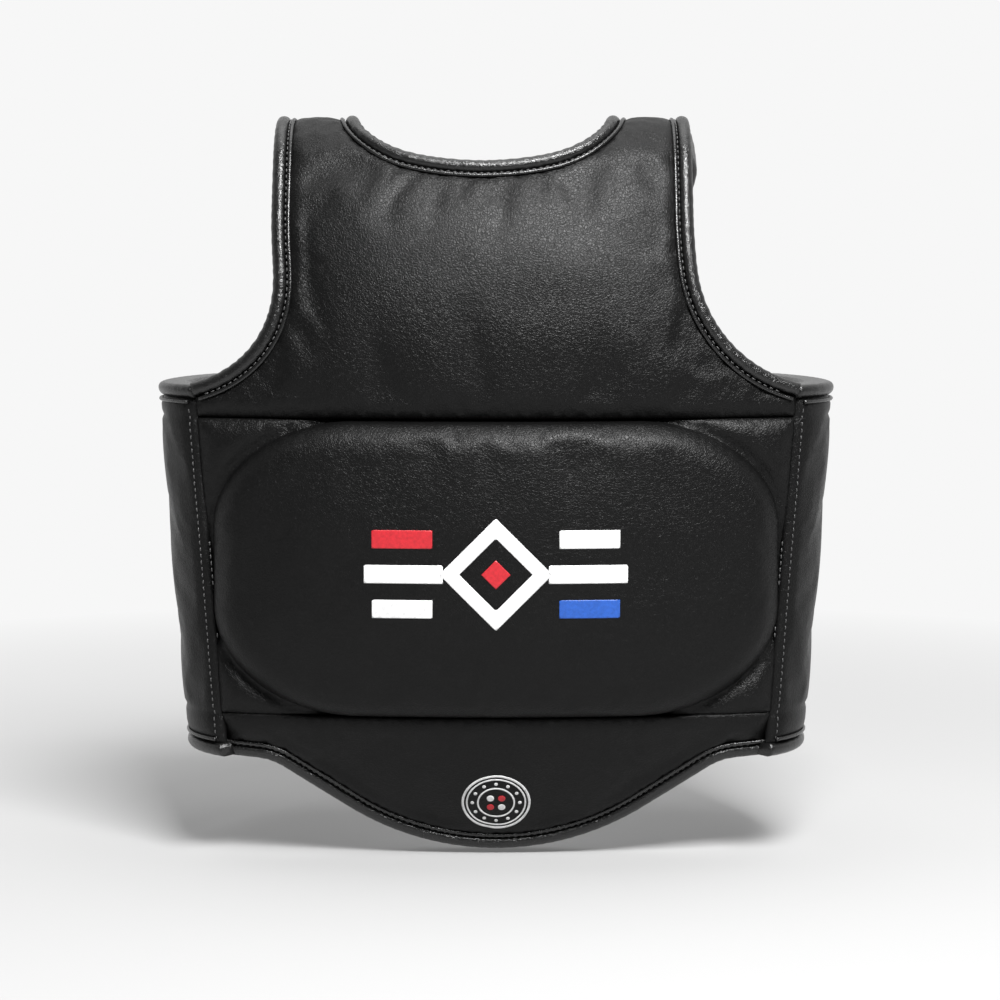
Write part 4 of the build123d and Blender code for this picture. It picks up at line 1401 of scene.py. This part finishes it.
def wing_band(name, side, start, end, stand, thickness, half_height, material):
    """A strip laid on a wing's outer face between two headings."""
    s = np.linspace(s_of(start), s_of(end), 26)
    place = on_wing(side)
    low = place(s, np.full(26, -half_height), stand)
    high = place(s, np.full(26, half_height), stand)
    if side * (end - start) > 0:
        low, high = high, low
    return band(name, high, low, thickness, material)


def across_back(z):
    """The elastic's inner face at this height, from the left wing's end round to the right one's."""
    place = on_wing(1)
    right = place(s_of(rear_heading), z, lap_gap)
    middle_y = place(s_of(rear_heading), 0.0, lap_gap)[1] + strap_bow
    left = np.array([-right[0] + root_gap, right[1], z])
    x = np.linspace(left[0], right[0], 60)
    centre, half = (left[0] + right[0]) / 2, (right[0] - left[0]) / 2
    bow = middle_y - right[1]
    radius = (half * half + bow * bow) / (2 * bow)
    y = middle_y - radius + np.sqrt(radius**2 - (x - centre) ** 2)
    back = np.stack([x, y, np.full(60, z)], -1)
    lap = place(np.linspace(s_of(rear_heading), s_of(lap_heading), 26), np.full(26, z), lap_gap)
    return chain(back, lap)


def root_path(z):
    """The sewn end's inner face, from the left wing's side round to where the strap bends."""
    place = on_wing(-1)
    lap = place(np.linspace(s_of(lap_heading), s_of(rear_heading), 26), np.full(26, z), lap_gap)
    stop = across_back(z)[0] - np.array([join_gap, 0, 0])
    return chain(lap, [stop])


waist_elastic, waist_root = (
    band(name, path(strap_half), path(-strap_half), elastic_thickness, elastic_cloth, 20)
    for name, path in (("waist_elastic_band", across_back), ("waist_root_band", root_path))
)
waist_tab = wing_band(
    "waist_tab_end", 1, lap_heading, 124, lap_gap, elastic_thickness, strap_half, webbing_cloth
)
hook_stand = lap_gap - patch_thickness
waist_hooks = wing_band(
    "waist_hooks", 1, 144, lap_heading, hook_stand, patch_thickness, patch_half, hook_tape
)
waist_loops = wing_band("waist_loops", 1, 144, 118, 0.0, patch_thickness, patch_half, loop_tape)
waist_anchor = wing_band("waist_anchor_patch", -1, 128, 144, 0.0, 4.0, 45.0, edge_leather)
for piece, body, node, slot in (
    (waist_elastic, "waist_strap", "waist_elastic", "elastic"),
    (waist_tab, "waist_strap", "waist_tab", "webbing"),
    (waist_hooks, "waist_strap", "waist_hook_patch", "hook_and_loop"),
    (waist_root, "left_wing", "waist_root", "elastic"),
    (waist_anchor, "left_wing", "waist_anchor", "black_leather"),
    (waist_loops, "right_wing", "waist_loop_patch", "hook_and_loop"),
):
    fit(piece, body, [node], slot)
print("waist strap", len(waist_elastic.data.polygons), "faces")

# %% [markdown]
# ## The back harness
# Two webbing straps run from rings on the shoulder pads to a small pad behind the waist. Each strap goes
# round its ring and folds back on itself, held by hook tape.

# %% Back pad
back_cover_box, back_edge_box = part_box("back_cover"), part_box("back_binding")
back_face = back_cover_box[1].y / MM
back_top, back_low = back_edge_box[1].z / MM, back_edge_box[0].z / MM
back_half = back_edge_box[1].x / MM
tail_half = 27.0


def with_round_corners(corners, radius):
    """A closed outline with its corners rounded."""
    corners = np.asarray(corners, float)
    count = len(corners)
    points = []
    for i in range(count):
        here, before, after = corners[i], corners[i - 1], corners[(i + 1) % count]
        a = here + radius * (before - here) / np.linalg.norm(before - here)
        b = here + radius * (after - here) / np.linalg.norm(after - here)
        for t in np.linspace(0, 1, 7):
            points.append((1 - t) ** 2 * a + 2 * t * (1 - t) * here + t * t * b)
    line = np.array(points)
    return resample(np.concatenate([line, line[:1]]), 2.2)[:-1]


def back_edge(inset):
    """The back pad's edge: a wide top, and a narrow tail."""
    half, tail, top, low = back_half - inset, tail_half - inset, back_top - inset, back_low + inset
    waist, shelf = back_top - 30.0 + inset * 0.8, strap_half + inset * 0.4
    corners = [
        (-tail, low),
        (tail, low),
        (tail, shelf),
        (half, waist),
        (half, top),
        (-half, top),
        (-half, waist),
        (-tail, shelf),
    ]
    return with_round_corners(corners, 10.0)


def on_back(x, z, h):
    """A point of the back pad, h outwards from its rear face."""
    x, z = np.asarray(x, float), np.asarray(z, float)
    return np.stack([x, back_face + h + 0 * x, z], -1)


back_outline = back_edge(tape_width)
back_height = swelling(back_outline, drop=4.0, width=9.0, crown=0.3, crown_width=20.0, rough=0.15, seed=8)
back_pad = pad(
    "back_pad",
    back_outline,
    on_back,
    back_height,
    lambda flat: -14.0 - back_height(flat) * 0.4,
    3.5,
)
back_profile = rounded_box(-1.0, tape_width, -14.6, 0.9, 3.0, 4)
back_tape = edging("back_tape", back_outline, back_profile, on_back, edge_leather, 0.03, -1, True)
tail_z = np.linspace(back_low + 8.0, strap_half - 8.0, 20)
back_hooks = band(
    "back_hooks",
    np.stack([np.full(20, 19.5), np.full(20, back_face), tail_z], -1),
    np.stack([np.full(20, -19.5), np.full(20, back_face), tail_z], -1),
    1.8,
    hook_tape,
)
fit(back_pad, "back_harness", ["back_cover", "back_foam", "back_lining"], "black_leather")
fit(back_tape, "back_harness", ["back_binding"], "edge_binding")
fit(back_hooks, "back_harness", ["back_hook_patch"], "hook_and_loop")

# %% [markdown]
# ## Webbing round the rings
# Each strap comes up from the back pad, turns round its ring's lower bar and folds back as a flap. A keeper
# does the same round the upper bar. Both are drawn as steps along the webbing and away from it.

# %% Webbing tools
wire, leg, half_width, webbing_thickness = 2.0, 3.2, 19.0, 1.8
pad_lean = math.radians(24.0)
pad_down = np.array([0.0, math.sin(pad_lean), -math.cos(pad_lean)])
pad_out = np.array([0.0, math.cos(pad_lean), math.sin(pad_lean)])
half_turn = np.radians(np.linspace(90, 270, 14))


def laid(origin, along, away, steps):
    """A strap's middle line, from steps along it and away from it."""
    return np.array([origin + along * a + away * b for a, b in steps])


def webbing(title, line, width=half_width, thickness=webbing_thickness, material=webbing_cloth):
    """A flat strip along a middle line."""
    reach = np.array([width, 0.0, 0.0])
    lines = resample(line, 1.5)
    along = np.gradient(lines, axis=0)
    normal = np.cross(along, -reach)
    normal = normal / np.linalg.norm(normal, axis=1, keepdims=True)
    lines = lines - normal * thickness / 2
    return band(title, lines + reach, lines - reach, thickness, material, 14)


# %% Straps, keepers and flaps
for name in ("left", "right"):
    low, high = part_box(f"{name}_ring")
    middle_x = (low.x + high.x) / 2 / MM
    upper_bar = np.array([middle_x, low.y / MM + wire, high.z / MM - wire])
    lower_bar = np.array([middle_x, high.y / MM - wire, low.z / MM + wire])
    down = (lower_bar - upper_bar) / np.linalg.norm(lower_bar - upper_bar)
    out = np.array([0.0, -down[2], down[1]])
    reach_down = (back_top - upper_bar[2]) / down[2] - np.linalg.norm(lower_bar - upper_bar) + 3.0
    turn_steps = [(leg * math.cos(a), leg * math.sin(a)) for a in half_turn]
    strap_steps = [(5.0, leg), (2.0, leg)] + turn_steps + [(20.0, -leg), (reach_down, -leg)]
    strap = webbing(f"{name}_strap_webbing", laid(lower_bar, down, out, strap_steps))
    keep_turn = [(-leg * math.cos(a), leg * math.sin(a)) for a in half_turn]
    keep_steps = [(-11.0, leg), (-3.0, leg)] + keep_turn + [(-3.0, -leg), (-11.0, -leg)]
    keeper = webbing(f"{name}_keeper_webbing", laid(upper_bar, pad_down, pad_out, keep_steps))
    flap_steps = [(5.3, leg), (30.0, leg + 0.2), (55.0, leg), (63.3, leg + 0.6)]
    flap = webbing(f"{name}_flap_webbing", laid(lower_bar, down, out, flap_steps))
    hook_steps = [(18.3, 0.5), (61.0, 0.5)]
    hooks = webbing(f"{name}_flap_hooks", laid(lower_bar, down, out, hook_steps), 17.0, 3.2, hook_tape)
    for piece, body, node, slot in (
        (strap, "back_harness", f"{name}_back_strap", "webbing"),
        (keeper, "front", f"{name}_ring_keeper", "webbing"),
        (flap, f"{name}_flap", f"{name}_strap_flap", "webbing"),
        (hooks, f"{name}_flap", f"{name}_flap_hook_patch", "hook_and_loop"),
    ):
        fit(piece, body, [node], slot)
    ring = frame["nodes"][f"{name}_ring"]
    ring.data.materials.clear()
    ring.data.materials.append(ring_metal)
print("harness ready")
